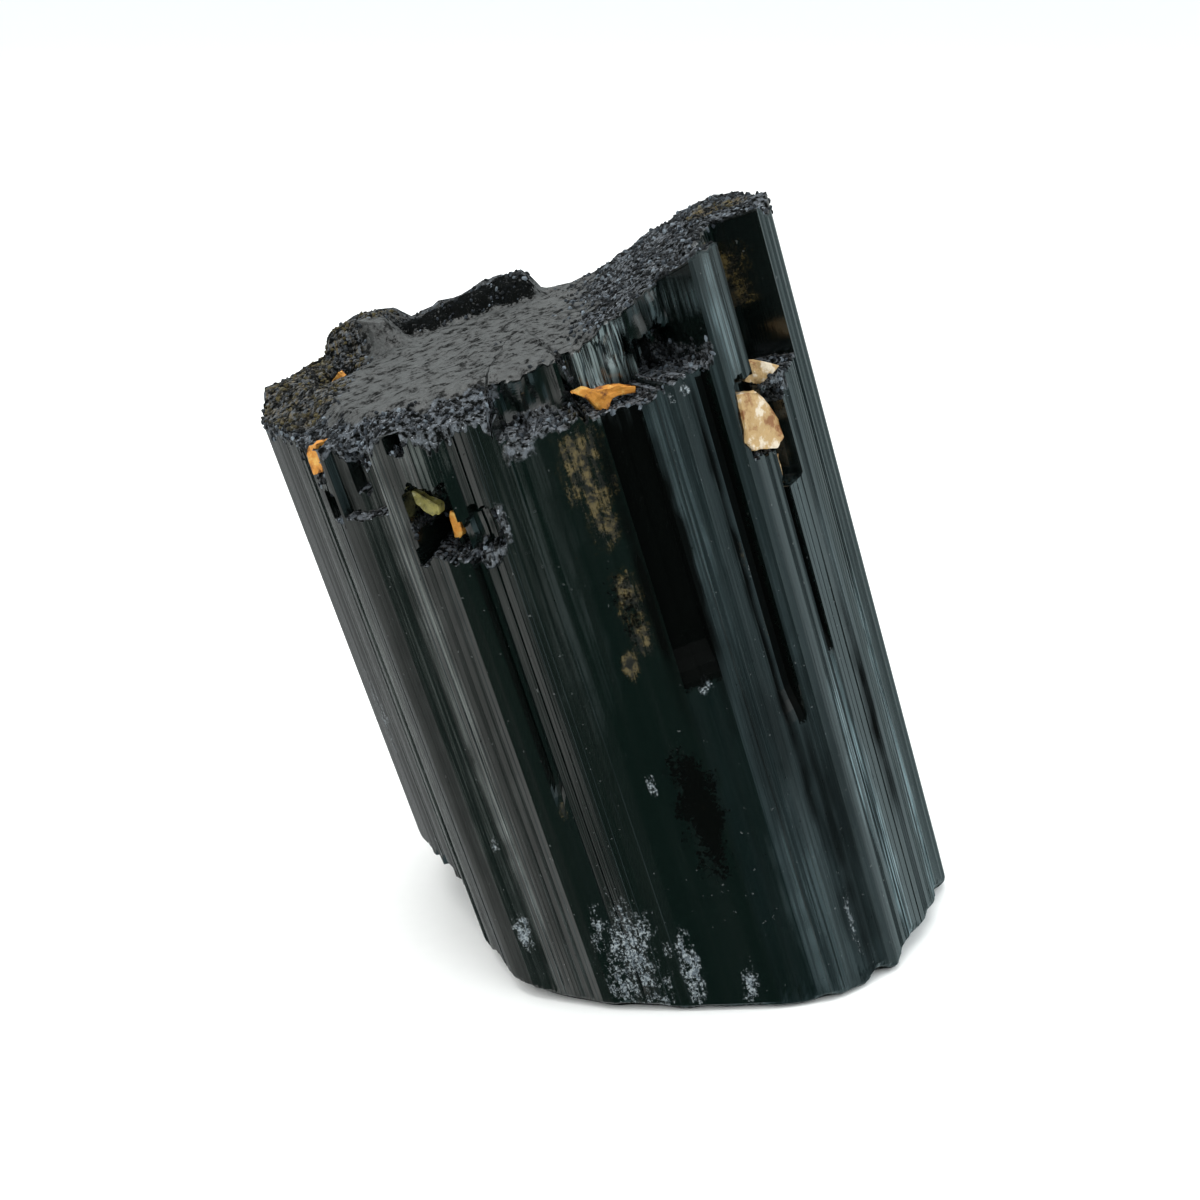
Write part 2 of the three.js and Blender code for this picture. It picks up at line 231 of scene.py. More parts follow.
def recess_depth(bearing, height):
    """How far below the plain prism the stone is, on a bearing and at a height."""
    deepest = np.zeros(np.broadcast(bearing, height).shape)
    for number, (start, stop, low, high, deep, ragged, fade) in enumerate(RECESSES):
        side = bearing + (ragged > WAVER_ABOVE) * lumps(height / 4.5, number, 11)
        waves = 0.7 * lumps(bearing / 3.1, number, 13) + 0.5 * lumps(bearing / 0.9, number, 14)
        up = height + ragged * waves
        inside = (side > start) & (side < stop) & (up > low) & (up < high)
        rough = 1 + 0.2 * ragged * (ragged > RUN_OUT_BELOW) * lumps(bearing / 1.6, height / 1.5, number)
        faded = deep * rough * (1 - fade * np.clip((height - low) / (high - low), 0, 1))
        if ragged < RUN_OUT_BELOW:
            faded = faded * ease(low, low + RUN_OUT_LENGTH, height)
        deepest = np.where(inside, np.maximum(deepest, faded), deepest)
    return deepest


print(len(RECESSES), "recesses, deepest", max(row[4] for row in RECESSES), "mm")

# %% [markdown]
# ## Bands and striae
# Tourmaline grows with striae, narrow facets that run the whole length of the prism. They are grouped in
# bands, and a band looks bright or black by the way its facets are turned. So each band has a turn in
# degrees, each of its striae a small turn more, and the mesh has a column of points at both edges of
# every stria, which keeps the edges sharp.

# %% Columns of points round the prism
# where a band starts, its turn, the spread of its striae, and the width of a stria in millimetres
BANDS = [
    (-180, 0, 7, 0.8), (-104, 0, 6, 0.7), (-84, 0, 6, 0.5), (-68, 2, 7, 0.45), (-57, -2, 6, 0.4),
    (-49, 3, 6, 0.35), (-43, 0, 5, 0.4), (-38, 6, 3, 0.4), (-33.5, 8, 3, 0.45), (-29, -7, 4, 0.3),
    (-25.5, -1, 6, 0.3), (-20.3, 9, 2, 0.6), (-16, 6, 2, 0.5), (-13.6, -12, 4, 0.45), (-8.5, -6, 4, 0.6),
    (-3, 0, 0.3, 6.2), (15.4, -7, 1.5, 1.0), (23.2, 4, 2.5, 0.7), (28.4, -6, 2.5, 0.7), (33.9, -14, 4, 0.4),
    (39.8, -11, 4, 0.35), (43, -2, 9, 0.28), (51.2, -8, 4, 0.35), (54.4, 1, 4, 0.5), (59.6, -4, 5, 0.5),
    (66.8, 3, 5, 0.4), (75, -2, 5, 0.5), (84, 0, 6, 0.5), (100, 0, 7, 0.8), (180, 0, 0, 1),
]
FRONT_CELL = 0.32
BACK_CELL = 1.4
BACK_FROM = 100
SEAM = 0.012
ARC_PER_DEGREE = 0.32
SKIN_INSET = 0.05

chance = np.random.default_rng(7)
columns = []
for (start, turn, spread, width), (stop, *_) in zip(BANDS, BANDS[1:]):
    count = max(1, round((stop - start) * ARC_PER_DEGREE / width))
    steps = np.cumsum(chance.uniform(0.5, 1.5, count))
    edges = start + (stop - start) * np.concatenate([[0], steps / steps[-1]])
    for left, right in zip(edges, edges[1:]):
        ends = outward(np.array([left, right])) * section_radius(np.array([left, right]))[:, None]
        chord = float(np.linalg.norm(ends[1] - ends[0]))
        cell = FRONT_CELL if abs(left) < BACK_FROM else BACK_CELL
        tilt = math.tan(math.radians(turn + spread * chance.uniform(-1, 1)))
        luck = chance.uniform(-1, 1)
        for share in np.linspace(SEAM / chord, 1 - SEAM / chord, max(1, math.ceil(chord / cell)) + 1):
            x, y = ends[0] + share * (ends[1] - ends[0])
            reach = (share - 0.5) * chord
            bearing = math.degrees(math.atan2(x, -y))
            columns.append((bearing, math.hypot(x, y), reach, chord / 2, tilt, luck))
column_bearing, column_radius, column_reach, column_half, column_tilt, column_luck = np.array(columns).T
column_radius -= SKIN_INSET
print(len(columns), "columns of points round the prism")

# %% [markdown]
# ## The skin of the crystal
# The columns are joined into one closed skin: rows of points from the foot to the break, rings of points
# from the rim of the break to its middle, and a flat fan under the foot. The rows are close together near
# the top, where the breaks are, and far apart below, where only straight striae run.

# %% Rows up the sides
# bearing, and how far the edge of the foot is chipped back there, in millimetres
FOOT_CHIPS = [
    (-180, 0.7), (-165, 0.7), (-137, 0.9), (-110, 1.2), (-78, 1.6), (-50, 1.8), (-28, 0.9), (-4, 0.5),
    (22, 0.5), (46, 1.1), (72, 1.7), (100, 1.3), (135, 0.8), (165, 0.7), (180, 0.7),
]
FOOT_ROWS = 24
FOOT_CROWDING = 1.5
MIDDLE_ROWS = 26
UPPER_ROWS = 92
MIDDLE_FROM = 12.0
UPPER_FROM = 31.0
CHIP_STEEPNESS = 0.84

to_ground = math.tan(LEAN)
rim_radius = column_radius - recess_depth(column_bearing, np.full(len(columns), OVER_TOP - 1))
rim_xy = outward(column_bearing) * rim_radius[:, None]
rim_top = top_height(rim_xy[:, 0], rim_xy[:, 1])
bite = np.interp(column_bearing, *np.array(FOOT_CHIPS).T) * (1 + 0.5 * lumps(column_bearing / 5, 1, 21))


def foot_line(radius):
    """Height along the axis where a column of that radius meets the ground."""
    return -outward(column_bearing)[:, 0] * radius * to_ground


foot_radius = column_radius - recess_depth(column_bearing, foot_line(column_radius)) - bite
foot = foot_line(foot_radius)
foot_share = (np.linspace(0, 1, FOOT_ROWS, endpoint=False) ** FOOT_CROWDING)[:, None]
middle_share = np.linspace(0, 1, MIDDLE_ROWS, endpoint=False)[:, None] + np.zeros(len(columns))
upper_share = np.linspace(0, 1, UPPER_ROWS)[:, None]
row_height = np.concatenate([
    foot + (MIDDLE_FROM - foot) * foot_share,
    MIDDLE_FROM + (UPPER_FROM - MIDDLE_FROM) * middle_share,
    UPPER_FROM + (rim_top - UPPER_FROM) * upper_share,
])
row_bearing = np.broadcast_to(column_bearing, row_height.shape)
row_depth = recess_depth(row_bearing, row_height)
row_radius = column_radius - row_depth
above_ground = (row_height + outward(column_bearing)[:, 0] * row_radius * to_ground) * math.cos(LEAN)
chip = bite * np.clip(1 - above_ground / (CHIP_STEEPNESS * bite), 0, 1)
row_radius = np.minimum(row_radius, column_radius - row_depth - chip)
row_radius[0] = foot_radius
row_radius[-1] = rim_radius
print(row_height.shape[0], "rows, from", round(row_height.min(), 1), "to", round(row_height.max(), 1), "mm")

# %% [markdown]
# ## Patches on the sides
# The points carry what the finishes need: how crusted the stone is there, its stains and scuffs, its pits,
# where shadow is painted into recesses, channels and the foot, where a brownish glint is painted in the
# slot, and where a long streak of painted reflection, pale or dark, runs down a band. Each is a patch with a
# place, a size and a strength, and the material breaks its edge up with noise. Painting them by hand would
# work too, but a short table is easier to read and change.

# %% Tables of patches
# bearing, height, half width in degrees, half height in millimetres, strength
# Iron stains, and at bearing 63, height 45, a brownish glint painted on the wall of the slot.
STAINS_AND_GLINT = [
    (10, 39.3, 5.5, 4.0, 0.95), (10, 35.5, 4, 2, 0.8), (11, 30.6, 4, 2.2, 0.95), (10.5, 28, 2.6, 1.6, 0.95),
    (6.6, 25.8, 1.7, 1, 1.5), (-15, 17.6, 1.2, 0.8, 0.9), (12, 15.2, 0.7, 0.5, 1.2),
    (36.5, 30, 0.8, 1.2, 0.9), (37, 24.5, 0.8, 1, 0.7), (-1, 41.5, 2, 1, 0.5), (63, 45, 3, 3.5, 1.3),
    (53, 21, 0.8, 1, 0.8),
]
SCUFFS = [
    (-11.5, 5.5, 8.0, 5.6, 0.78), (-16, 8.5, 2, 2.4, 0.65), (-1, 3.6, 2.6, 4.4, 0.8), (10, 1.2, 2.5, 2, 0.8),
    (-31.5, 8.7, 2.6, 2.2, 0.9), (-31, 15.8, 1.4, 0.8, 0.8), (36, 2.5, 2, 4.4, 0.6),
    (3.5, 17.8, 1.3, 1.5, 0.6), (19.5, 23.1, 3.2, 0.6, 0.75), (37, 29, 0.8, 1, 0.7), (-74, 22, 9, 5, 0.45),
    (-66, 12, 6, 3, 0.4), (29, 41.4, 1.6, 0.7, 0.6), (33, 41.5, 2, 0.6, 0.6), (-34, 44.5, 5, 1, 0.4),
]
FROSTS = [
    (4, 42.5, 8, 0.9, 1.0), (-1, 41.6, 4, 1.2, 0.9), (-13, 35.6, 5, 0.8, 1.0), (-8, 37.5, 2, 2, 0.6),
    (-23, 38.4, 3, 0.7, 0.7), (37, 43.2, 5, 1.2, 0.9), (60, 38.4, 5, 1.1, 1.0), (-44, 42.4, 4, 1.5, 0.7),
]
PITS = [(11, 15, 5, 5, 1.3), (10, 30, 3, 3, 0.6), (57, 38, 5, 3, 0.6)]
# Shadow painted into a recess at the front right and into the pocket on the left.
SHADOWS = [(35.5, 44, 5.5, 1.5, 0.9), (-20.5, 38.8, 4.5, 1.8, 0.9)]
# Pale streaks painted into the colour where the bands mirror bright parts of the room, and on a lit wall
# under the break: painted reflections.
PAINTED_SHEENS = [
    (20.5, 44.4, 7.0, 2.8, 2.4), (37, 46.5, 6, 1.6, 0.22), (46.5, 44, 3.6, 5, 0.32),
    (28.5, 5, 5.4, 8.6, 0.14), (72.5, 8, 3.2, 13, 0.95), (51, 12, 3, 8, 1.0), (53.5, 4, 2.4, 8, 1.0),
    (26, 35, 4, 9, 0.13), (-27.6, 28, 1.8, 22, 0.42), (-23, 12, 2.4, 10, 0.12), (-19, 42.6, 4, 2.4, 0.38),
    (-60, 28, 7, 24, 0.14), (64, 25, 3, 5, 0.15), (57, 30, 3, 9, 0.1), (-52, 30, 2.5, 20, 0.2),
    (-49, 25, 9, 18, 0.34), (-32, 24, 2.5, 24, 0.12), (-3, 34, 6, 11, 0.07),
]
# Dark streaks painted with the unlit black where the bands mirror dark parts of the room: painted dark
# reflections.
PAINTED_DIMS = [
    (14.2, 31, 1.6, 10, 1.2), (23.3, 31, 1.6, 11, 1.2), (26, 18, 2, 7, 0.45), (31, 18, 2.4, 8, 0.5),
    (35, 26, 1.7, 24, 1.2), (38.3, 9, 2.6, 15, 0.75), (41.5, 9, 2, 12, 0.6), (44, 13.5, 1.4, 8, 0.35),
    (62.2, 14, 2.6, 8, 1.0), (78.5, 14, 3.5, 14, 0.3), (-36, 22, 2.6, 26, 0.35), (-24, 22, 2.6, 24, 0.35),
]
patch_tables = [STAINS_AND_GLINT, SCUFFS, FROSTS, PITS, SHADOWS, PAINTED_SHEENS, PAINTED_DIMS]
print(sum(map(len, patch_tables)), "patches on the sides")

# %% Crust, stains, painted glint, painted shade and painted reflections of the sides
CRUST_FROM = 35.0
LEDGE_STEP = 0.5
PIT_DEPTH = 0.04
CHANNEL_DEPTH = 0.004
# How strong the painted shade in the channels is.
CHANNEL_SHADE = 1.4
CHANNEL_TOP = 41.8
CHANNEL_SPANS = [(15, 23.6), (37.2, 40), (51.8, 54.2)]


def patch_strength(patches, bearing, height, seed):
    """The strongest patch at a place, with a wavering edge."""
    strength = np.zeros(np.broadcast(bearing, height).shape)
    wobble = 0.35 * lumps(bearing / 2, height / 1.4, seed)
    for at, up, half_width, half_height, strong in patches:
        gone = np.hypot((bearing - at) / half_width, (height - up) / half_height)
        strength = np.maximum(strength, strong * np.clip(1.25 - gone + wobble, 0, 1))
    return strength


step_in = -np.diff(row_radius, axis=0)
on_ledge = np.zeros(row_radius.shape)
on_ledge[1:] = np.maximum(on_ledge[1:], step_in > LEDGE_STEP)
on_ledge[:-1] = np.maximum(on_ledge[:-1], step_in > LEDGE_STEP)
on_ledge *= row_height > CRUST_FROM
below_rim = row_height[-1] - row_height
ragged_rim = 0.5 + 0.7 * lumps(row_bearing / 2.3, 3, 31) + 0.5 * lumps(row_bearing / 0.7, 5, 32)
crumbling_rim = 1 - ease(-6, 0, row_bearing) * ease(-100, -90, -row_bearing)
side_crust = np.maximum(on_ledge, crumbling_rim * ease(-0.35, 0.1, ragged_rim - below_rim))
side_crust = np.maximum(side_crust, patch_strength(FROSTS, row_bearing, row_height, 33))
side_stain_and_glint = patch_strength(STAINS_AND_GLINT, row_bearing, row_height, 34)
# A brownish glint painted on the lit wall of the slot, coloured like the stains.
in_slot = (row_depth > 2) & (row_bearing > 66) & (row_bearing < 75)
slot_painted_glint = 0.8 * in_slot * ease(42.4, 43.4, row_height) * (1 - ease(46.6, 48, row_height))
side_stain_and_glint = np.maximum(side_stain_and_glint, slot_painted_glint)
side_scuff = patch_strength(SCUFFS, row_bearing, row_height, 35)
side_pits = patch_strength(PITS, row_bearing, row_height, 36)
# Real pits, joined by the painted shadow of the SHADOWS table and, below, by the painted shade of the
# channels.
pitted = np.maximum(side_pits, patch_strength(SHADOWS, row_bearing, row_height, 38))
in_channel = (row_depth > CHANNEL_DEPTH) & (row_height < CHANNEL_TOP) & (row_height > MIDDLE_FROM)
in_span = np.zeros(row_bearing.shape, bool)
for start, stop in CHANNEL_SPANS:
    in_span |= (row_bearing > start) & (row_bearing < stop)
# The channels get painted shade.
pitted = np.maximum(pitted, CHANNEL_SHADE * (in_channel & in_span))
# How strongly a painted reflection brightens the colour at each point of the sides.
side_painted_sheen = patch_strength(PAINTED_SHEENS, row_bearing, row_height, 39)
# How strongly a painted dark reflection darkens each point of the sides.
side_painted_dim = patch_strength(PAINTED_DIMS, row_bearing, row_height, 40)
row_radius -= PIT_DEPTH * pitted
# Painted shade on the chipped faces at the foot, where the crystal meets the floor.
foot_shade = 0.95 * ease(0.1, 0.45, chip / bite)
print("crusted points on the sides:", int((side_crust > 0.5).sum()))

# %% [markdown]
# ## Rings over the break
# The break is covered by rings of points that shrink from the rim to the middle, each as high as the
# height field says. They carry the same marks as the sides: crust along the front, on the climb and on the
# left shoulder, stains on the corner and the knob, and painted shadow in the crevice and on the wall of the
# bar.

# %% Rings over the break
RING_COUNT = 40
RING_CROWDING = 1.25
ring_share = 1 - np.linspace(0, 1, RING_COUNT + 1)[1:-1] ** RING_CROWDING
ring_radius = ring_share[:, None] * rim_radius
ring_xy = outward(column_bearing) * ring_radius[..., None]
ring_top = top_height(ring_xy[..., 0], ring_xy[..., 1])
ring_x, ring_y = ring_xy[..., 0], ring_xy[..., 1]
ring_rim = rim_share(ring_x, ring_y)
plateau_front = ease(0.15, 0.6, ring_rim + 0.25 * lumps(ring_x / 1.1, ring_y / 1.1, 41))
right_climb = ease(2, 8, ring_x + 1.5 * lumps(ring_x / 2, ring_y / 2, 42))
standing_bar = ease(6.8, 7.6, ring_y) * ease(-1.5, -0.5, -ring_x)
front_crust = plateau_front * ease(-6, -3, -ring_y)
ring_crust = front_crust + 0.75 * right_climb + 0.5 * standing_bar
left_shoulder = ease(10.5, 13, -ring_x + 0.8 * lumps(ring_x, ring_y, 43)) * ease(-11, -8, ring_y)
ring_crust = np.clip(ring_crust + 0.8 * left_shoulder, 0, 1)
corner_stain = 1.5 * (1 - ease(1.0, 2.8, np.hypot(ring_x - 15.4, ring_y - 2.2)))
knob_stain = 0.6 * (1 - ease(1.5, 3.0, np.hypot(ring_x + 11.2, ring_y - 9.5)))
bar_shadow = 0.8 * ease(6.9, 7.5, ring_y) * (1 - ease(9.4, 10.4, ring_y)) * ease(-1.5, -0.8, -ring_x)
cave_shadow = 1 - ease(1.2, 2.0, from_crevice(ring_x, ring_y))
ring_shadow = np.maximum(bar_shadow * (1 - knob_stain), cave_shadow)
ring_stain = np.maximum(0.62 * left_shoulder, np.maximum(corner_stain, knob_stain))
print(RING_COUNT, "rings over the break")

# %% Join the rows and rings into one closed skin
column_count = len(columns)
upright = np.concatenate([
    np.dstack([outward(column_bearing) * row_radius[..., None], row_height]).reshape(-1, 3),
    np.dstack([ring_xy, ring_top]).reshape(-1, 3),
    [[0, 0, float(top_height(np.array(0.0), np.array(1e-6)))], [0, 0, 0]],
])
ring_total = len(row_height) + RING_COUNT - 1
top_point, foot_point = len(upright) - 2, len(upright) - 1
here = np.arange(column_count)
there = (here + 1) % column_count
quads = []
for ring in range(ring_total - 1):
    low, high = ring * column_count, (ring + 1) * column_count
    quads.append(np.stack([low + here, low + there, high + there, high + here], axis=1))
quads = np.concatenate(quads)
last = (ring_total - 1) * column_count
lid = np.stack([last + here, last + there, np.full(column_count, top_point)], axis=1)
base = np.stack([there, here, np.full(column_count, foot_point)], axis=1)
skin_points = lean_over(upright)
skin_points[:column_count, 2] = 0
skin_points[foot_point] = 0
skin_mesh = bpy.data.meshes.new("crystal_skin")
skin_mesh.from_pydata(skin_points.tolist(), [], quads.tolist() + lid.tolist() + base.tolist())
skin_mesh.shade_flat()
print(len(skin_mesh.polygons), "faces,", 2 * len(quads) + 2 * column_count, "triangles in the skin")

# %% [markdown]
# ## Numbers kept on the points
# A mesh can carry named numbers on its points, which materials and Geometry Nodes both read. Here they are
# the marks of the finishes, of the painted shade and of the painted reflections, and the turn of every
# stria. A UV map unrolls the sides, so that a pattern can run along the prism.

# %% Keep the marks of the finishes, the painted shade and the painted reflections
BOX_CLEAR = (0.35 * MM, 0.7 * MM)
RIM_EDGE = 0.02
ROWS = row_height.shape


def keep_on_points(name, side, ring):
    """Stores one number for each point of the skin, for the sides and for the break."""
    ends = [np.mean(ring[-1]), 0]
    values = np.concatenate([np.ravel(side), np.ravel(ring), ends])
    kept = skin_mesh.attributes.new(name, "FLOAT", "POINT")
    kept.data.foreach_set("value", values.astype(np.float32))


ring_shape = ring_top.shape
no_ring = np.zeros(ring_shape)
keep_on_points("crust", side_crust, ring_crust)
# Iron stains, and the brownish glint painted in the slot.
keep_on_points("stain", side_stain_and_glint, ring_stain)
keep_on_points("scuff", side_scuff, no_ring)
# Pits, and shadow painted into recesses, channels, the crevice, the wall of the bar and the foot.
keep_on_points("pitted", np.maximum(pitted, foot_shade), ring_shadow)
# The pale painted reflections.
keep_on_points("sheen", side_painted_sheen, no_ring)
# The painted dark reflections.
keep_on_points("dim", side_painted_dim, no_ring)
room_left = np.minimum(skin_points - cad_box[0], np.array(cad_box[1]) - skin_points)[:-2]
room_left[:, 2] = (np.array(cad_box[1]) - skin_points)[:-2, 2]
clear_of_box = ease(*BOX_CLEAR, room_left.min(axis=1))
side_clear = clear_of_box[:row_height.size].reshape(ROWS)
ring_clear = clear_of_box[row_height.size:].reshape(ring_shape)
side_grit = side_crust * side_clear * (row_height > CRUST_FROM)
keep_on_points("grit", side_grit, ring_crust * ring_clear)
keep_on_points("break_top", row_height >= row_height[-1] - RIM_EDGE, np.ones(ring_shape))
print(len(skin_mesh.attributes), "attributes on the skin")

# %% Keep the turns of the striae
WALL_FROM = 42.4
WALL_BEARINGS = (12.0, 30.0)
WALL_TURN = 9.0
WALL_SPREAD = 12.0
STEADY_ABOVE = 1.5
lit_wall = (row_height > WALL_FROM) & (row_bearing > WALL_BEARINGS[0]) & (row_bearing < WALL_BEARINGS[1])
wall_tilt = np.tan(np.radians(WALL_TURN + WALL_SPREAD * column_luck))
row_tilt = np.where(lit_wall, wall_tilt, column_tilt)
row_tilt *= ease(0, STEADY_ABOVE, above_ground)
keep_on_points("reach", column_reach * MM + np.zeros(ROWS), no_ring)
keep_on_points("half_width", column_half * MM + np.zeros(ROWS), no_ring)
keep_on_points("tilt", row_tilt, no_ring)
away = np.dstack([np.broadcast_to(outward(column_bearing), ROWS + (2,)), np.zeros(ROWS)]).reshape(-1, 3)
away = np.concatenate([lean_over(away) / MM, np.zeros((len(upright) - len(away), 3))])
outward_kept = skin_mesh.attributes.new("outward", "FLOAT_VECTOR", "POINT")
outward_kept.data.foreach_set("vector", away.astype(np.float32).ravel())
print("striae turned by up to", round(float(np.degrees(np.arctan(np.abs(row_tilt).max()))), 1), "degrees")

# %% Unroll the sides into a UV map
section_edge = outward(column_bearing) * column_radius[:, None]
arc = np.concatenate([[0], np.cumsum(np.hypot(*np.diff(section_edge, axis=0).T))])
point_uv = np.zeros((len(upright), 2))
side_count = ROWS[0] * column_count
point_uv[:side_count, 0] = np.broadcast_to(arc, ROWS).ravel()
point_uv[:side_count, 1] = row_height.ravel()
point_uv[side_count:-2] = ring_xy.reshape(-1, 2)
corner_points = np.zeros(len(skin_mesh.loops), int)
skin_mesh.loops.foreach_get("vertex_index", corner_points)
skin_uv = skin_mesh.uv_layers.new(name="striae")
skin_uv.data.foreach_set("uv", point_uv[corner_points].astype(np.float32).ravel())
print("perimeter", round(float(arc[-1]), 1), "mm")

# %% [markdown]
# ## Writing nodes as sums
# A node tree is easier to read as a sum than as boxes and wires. One class wraps a socket and turns
# Python's operators into Math nodes; one method of the tree adds any other node from its type, its
# settings and the values of its sockets. The same two serve materials and Geometry Nodes.


# %% Sums of sockets
class Amount:
    """A socket of a node tree, in sums with numbers and other sockets."""

    def __init__(self, graph, socket):
        self.graph = graph
        self.socket = socket

    def math(self, operation, *others, clamp=False):
        settings = {"operation": operation, "use_clamp": clamp}
        return self.graph.add("ShaderNodeMath", settings, dict(enumerate([self, *others])))

    def __add__(self, other):
        return self.math("ADD", other)

    def __sub__(self, other):
        return self.math("SUBTRACT", other)

    def __rsub__(self, other):
        return self.graph.add("ShaderNodeMath", {"operation": "SUBTRACT"}, {0: other, 1: self})

    def __mul__(self, other):
        return self.math("MULTIPLY", other)

    def __truediv__(self, other):
        return self.math("DIVIDE", other)

    def clear(self):
        """Kept between 0 and 1."""
        return self.math("ADD", 0.0, clamp=True)

    def over(self, low, high):
        """0 below low, 1 above high, smooth between."""
        sockets = {"Value": self, "From Min": low, "From Max": high}
        return self.graph.add("ShaderNodeMapRange", {"interpolation_type": "SMOOTHSTEP"}, sockets)

    def out(self, name):
        """Another output of the same node."""
        return Amount(self.graph, self.socket.node.outputs[name])

    __radd__ = __add__
    __rmul__ = __mul__


print("sums of sockets ready")


# %% One way to add a node
class Graph:
    """A node tree, and the one way to add a node to it."""

    def __init__(self, tree):
        self.tree = tree
        tree.nodes.clear()

    def add(self, kind, settings=None, sockets=None, out=0):
        """Adds a node, sets it up, fills or links its sockets, and gives one of its outputs."""
        node = self.tree.nodes.new(kind)
        for name, value in (settings or {}).items():
            if name == "stops":
                self.fill_ramp(node.color_ramp, value)
            else:
                setattr(node, name, value)
        for name, value in (sockets or {}).items():
            if isinstance(value, Amount):
                self.tree.links.new(value.socket, node.inputs[name])
            else:
                node.inputs[name].default_value = value
        return Amount(self, node.outputs[out]) if node.outputs else None

    def fill_ramp(self, ramp, stops):
        """Sets a ramp's two own stops first, then adds the ones between them."""
        first, *between, last = stops
        ramp.elements[0].position = first[0]
        ramp.elements[0].color = (*first[1], 1)
        ramp.elements[1].position = last[0]
        ramp.elements[1].color = (*last[1], 1)
        for position, colour in between:
            stop = ramp.elements.new(position)
            stop.color = (*colour, 1)

    def mix(self, share, first, second):
        """One colour turning into another."""
        colours = [value if isinstance(value, Amount) else (*value, 1) for value in (first, second)]
        sockets = {0: share, 6: colours[0], 7: colours[1]}
        return self.add("ShaderNodeMix", {"data_type": "RGBA"}, sockets, out=2)

    def noise(self, where, scale, detail=2.0, rough=0.5):
        """Smooth noise at a place, with that many lumps to a unit."""
        values = {"Vector": where, "Scale": scale, "Detail": detail, "Roughness": rough}
        return self.add("ShaderNodeTexNoise", None, values)

    def stretch(self, where, factors):
        """A place with each of its directions scaled."""
        return self.add("ShaderNodeVectorMath", {"operation": "MULTIPLY"}, {0: where, 1: factors})

    def point_value(self, name):
        """A number kept on the points of the mesh."""
        return self.add("ShaderNodeAttribute", {"attribute_name": name}, out="Fac")


print("graphs ready")


# %% Start and end a material
def new_material(name):
    """A material with an empty node tree."""
    material = bpy.data.materials.new(name)
    material.use_nodes = True
    return material, Graph(material.node_tree)


def finish_surface(graph, sockets, height=None, depth=0.0, bump_strength=1.0):
    """Ends a material in one shader, with an optional bump."""
    if height is not None:
        bump = {"Height": height, "Distance": depth, "Strength": bump_strength}
        sockets["Normal"] = graph.add("ShaderNodeBump", None, bump)
    shader = graph.add("ShaderNodeBsdfPrincipled", None, sockets)
    graph.add("ShaderNodeOutputMaterial", None, {"Surface": shader})


print("node helpers ready")

# %% [markdown]
# ## The finish of the stone
# Schorl is black glass with a greenish depth on its prism faces, a grey dull crust where it broke, golden
# iron stains and white bruises near the foot. All of these are one material, because the stone is one
# piece: the numbers on the points say where each finish is, and noise breaks up their edges. The fine
# striae are noise squeezed across the prism and drawn out along it. Pale streaks of painted reflection run
# down some bands, and a brownish glint is painted in the slot. Pits and cracks swallow light, so a second,
# unlit black shader is mixed in as painted shade: in pits and cracks, between the grains of the crust, in
# the channels, at the foot, and in dark streaks of painted reflection.

# %% Patterns of the stone
TOURMALINE_IOR = 1.63
THREAD_SCALE = 5000.0
THREAD_SCALE_ALONG = 60.0
GRAIN_SCALE = 2600.0
SPECKLE_SCALE = 6200.0
DUST_SCALE = 3400.0
COARSE_SCALE = 1250.0

schorl, graph = new_material("schorl")
place = graph.add("ShaderNodeUVMap", {"uv_map": "striae"})
spot = graph.add("ShaderNodeTexCoord", None, None, out="Object")
axis = (-math.sin(LEAN), 0, math.cos(LEAN))
along = graph.add("ShaderNodeVectorMath", {"operation": "DOT_PRODUCT"}, {0: spot, 1: axis}, out="Value")
along_axis = graph.add("ShaderNodeVectorMath", {"operation": "SCALE"}, {
    0: axis, "Scale": along * (THREAD_SCALE - THREAD_SCALE_ALONG)})
across = graph.add("ShaderNodeVectorMath", {"operation": "SUBTRACT"}, {
    0: graph.stretch(spot, (THREAD_SCALE, THREAD_SCALE, THREAD_SCALE)), 1: along_axis})
threads = graph.noise(across, 1.0, 3.0, 0.6)
wide_threads = graph.noise(graph.stretch(place, (1.1, 0.03, 1)), 1.0, 2.0)
streaks = graph.noise(graph.stretch(place, (2.8, 0.3, 1)), 1.0, 6.0, 0.75)
grain = graph.noise(spot, GRAIN_SCALE, 4.0, 0.65)
speckle = graph.noise(spot, SPECKLE_SCALE, 2.0, 0.6)
dust = graph.noise(spot, DUST_SCALE, 1.0, 0.5).over(0.755, 0.79)
coarse = graph.noise(spot, COARSE_SCALE, 5.0, 0.72)
print("patterns of the stone:", len(schorl.node_tree.nodes), "nodes")

# %% Where each finish, the painted glint and the painted shade of the stone show
top = graph.point_value("break_top")
crust = (graph.point_value("crust") + 0.5 * (grain - 0.5)).over(0.35, 0.62)
# Iron stains in streaks, and the brownish glint painted in the slot.
stain = (graph.point_value("stain") * (3.4 * streaks - 0.95) + 0.9 * (speckle - 0.5)).over(0.2, 0.8)
scuff_noise = graph.noise(graph.stretch(place, (2.4, 1.0, 1)), 1.0, 6.0, 0.75)
scuff = (graph.point_value("scuff") * (scuff_noise * 3.4 + speckle * 1.2 - 1.8)).over(0.22, 0.5)
# Small dark pits on the break, painted as shade.
painted_pock_shade = top * (1 - coarse).over(0.50, 0.62) * 0.8
broken_up = 1.5 * (grain - 0.5) + 1.2 * (speckle - 0.5)
# Pits, and the painted shade of recesses, channels, the crevice, the bar's wall and the foot, broken up with
# noise.
pits = (graph.point_value("pitted") * 0.8 + broken_up).over(0.3, 0.55)
# Painted shade between the grains of the crust.
painted_gap_shade = crust * (1 - grain).over(0.48, 0.6)
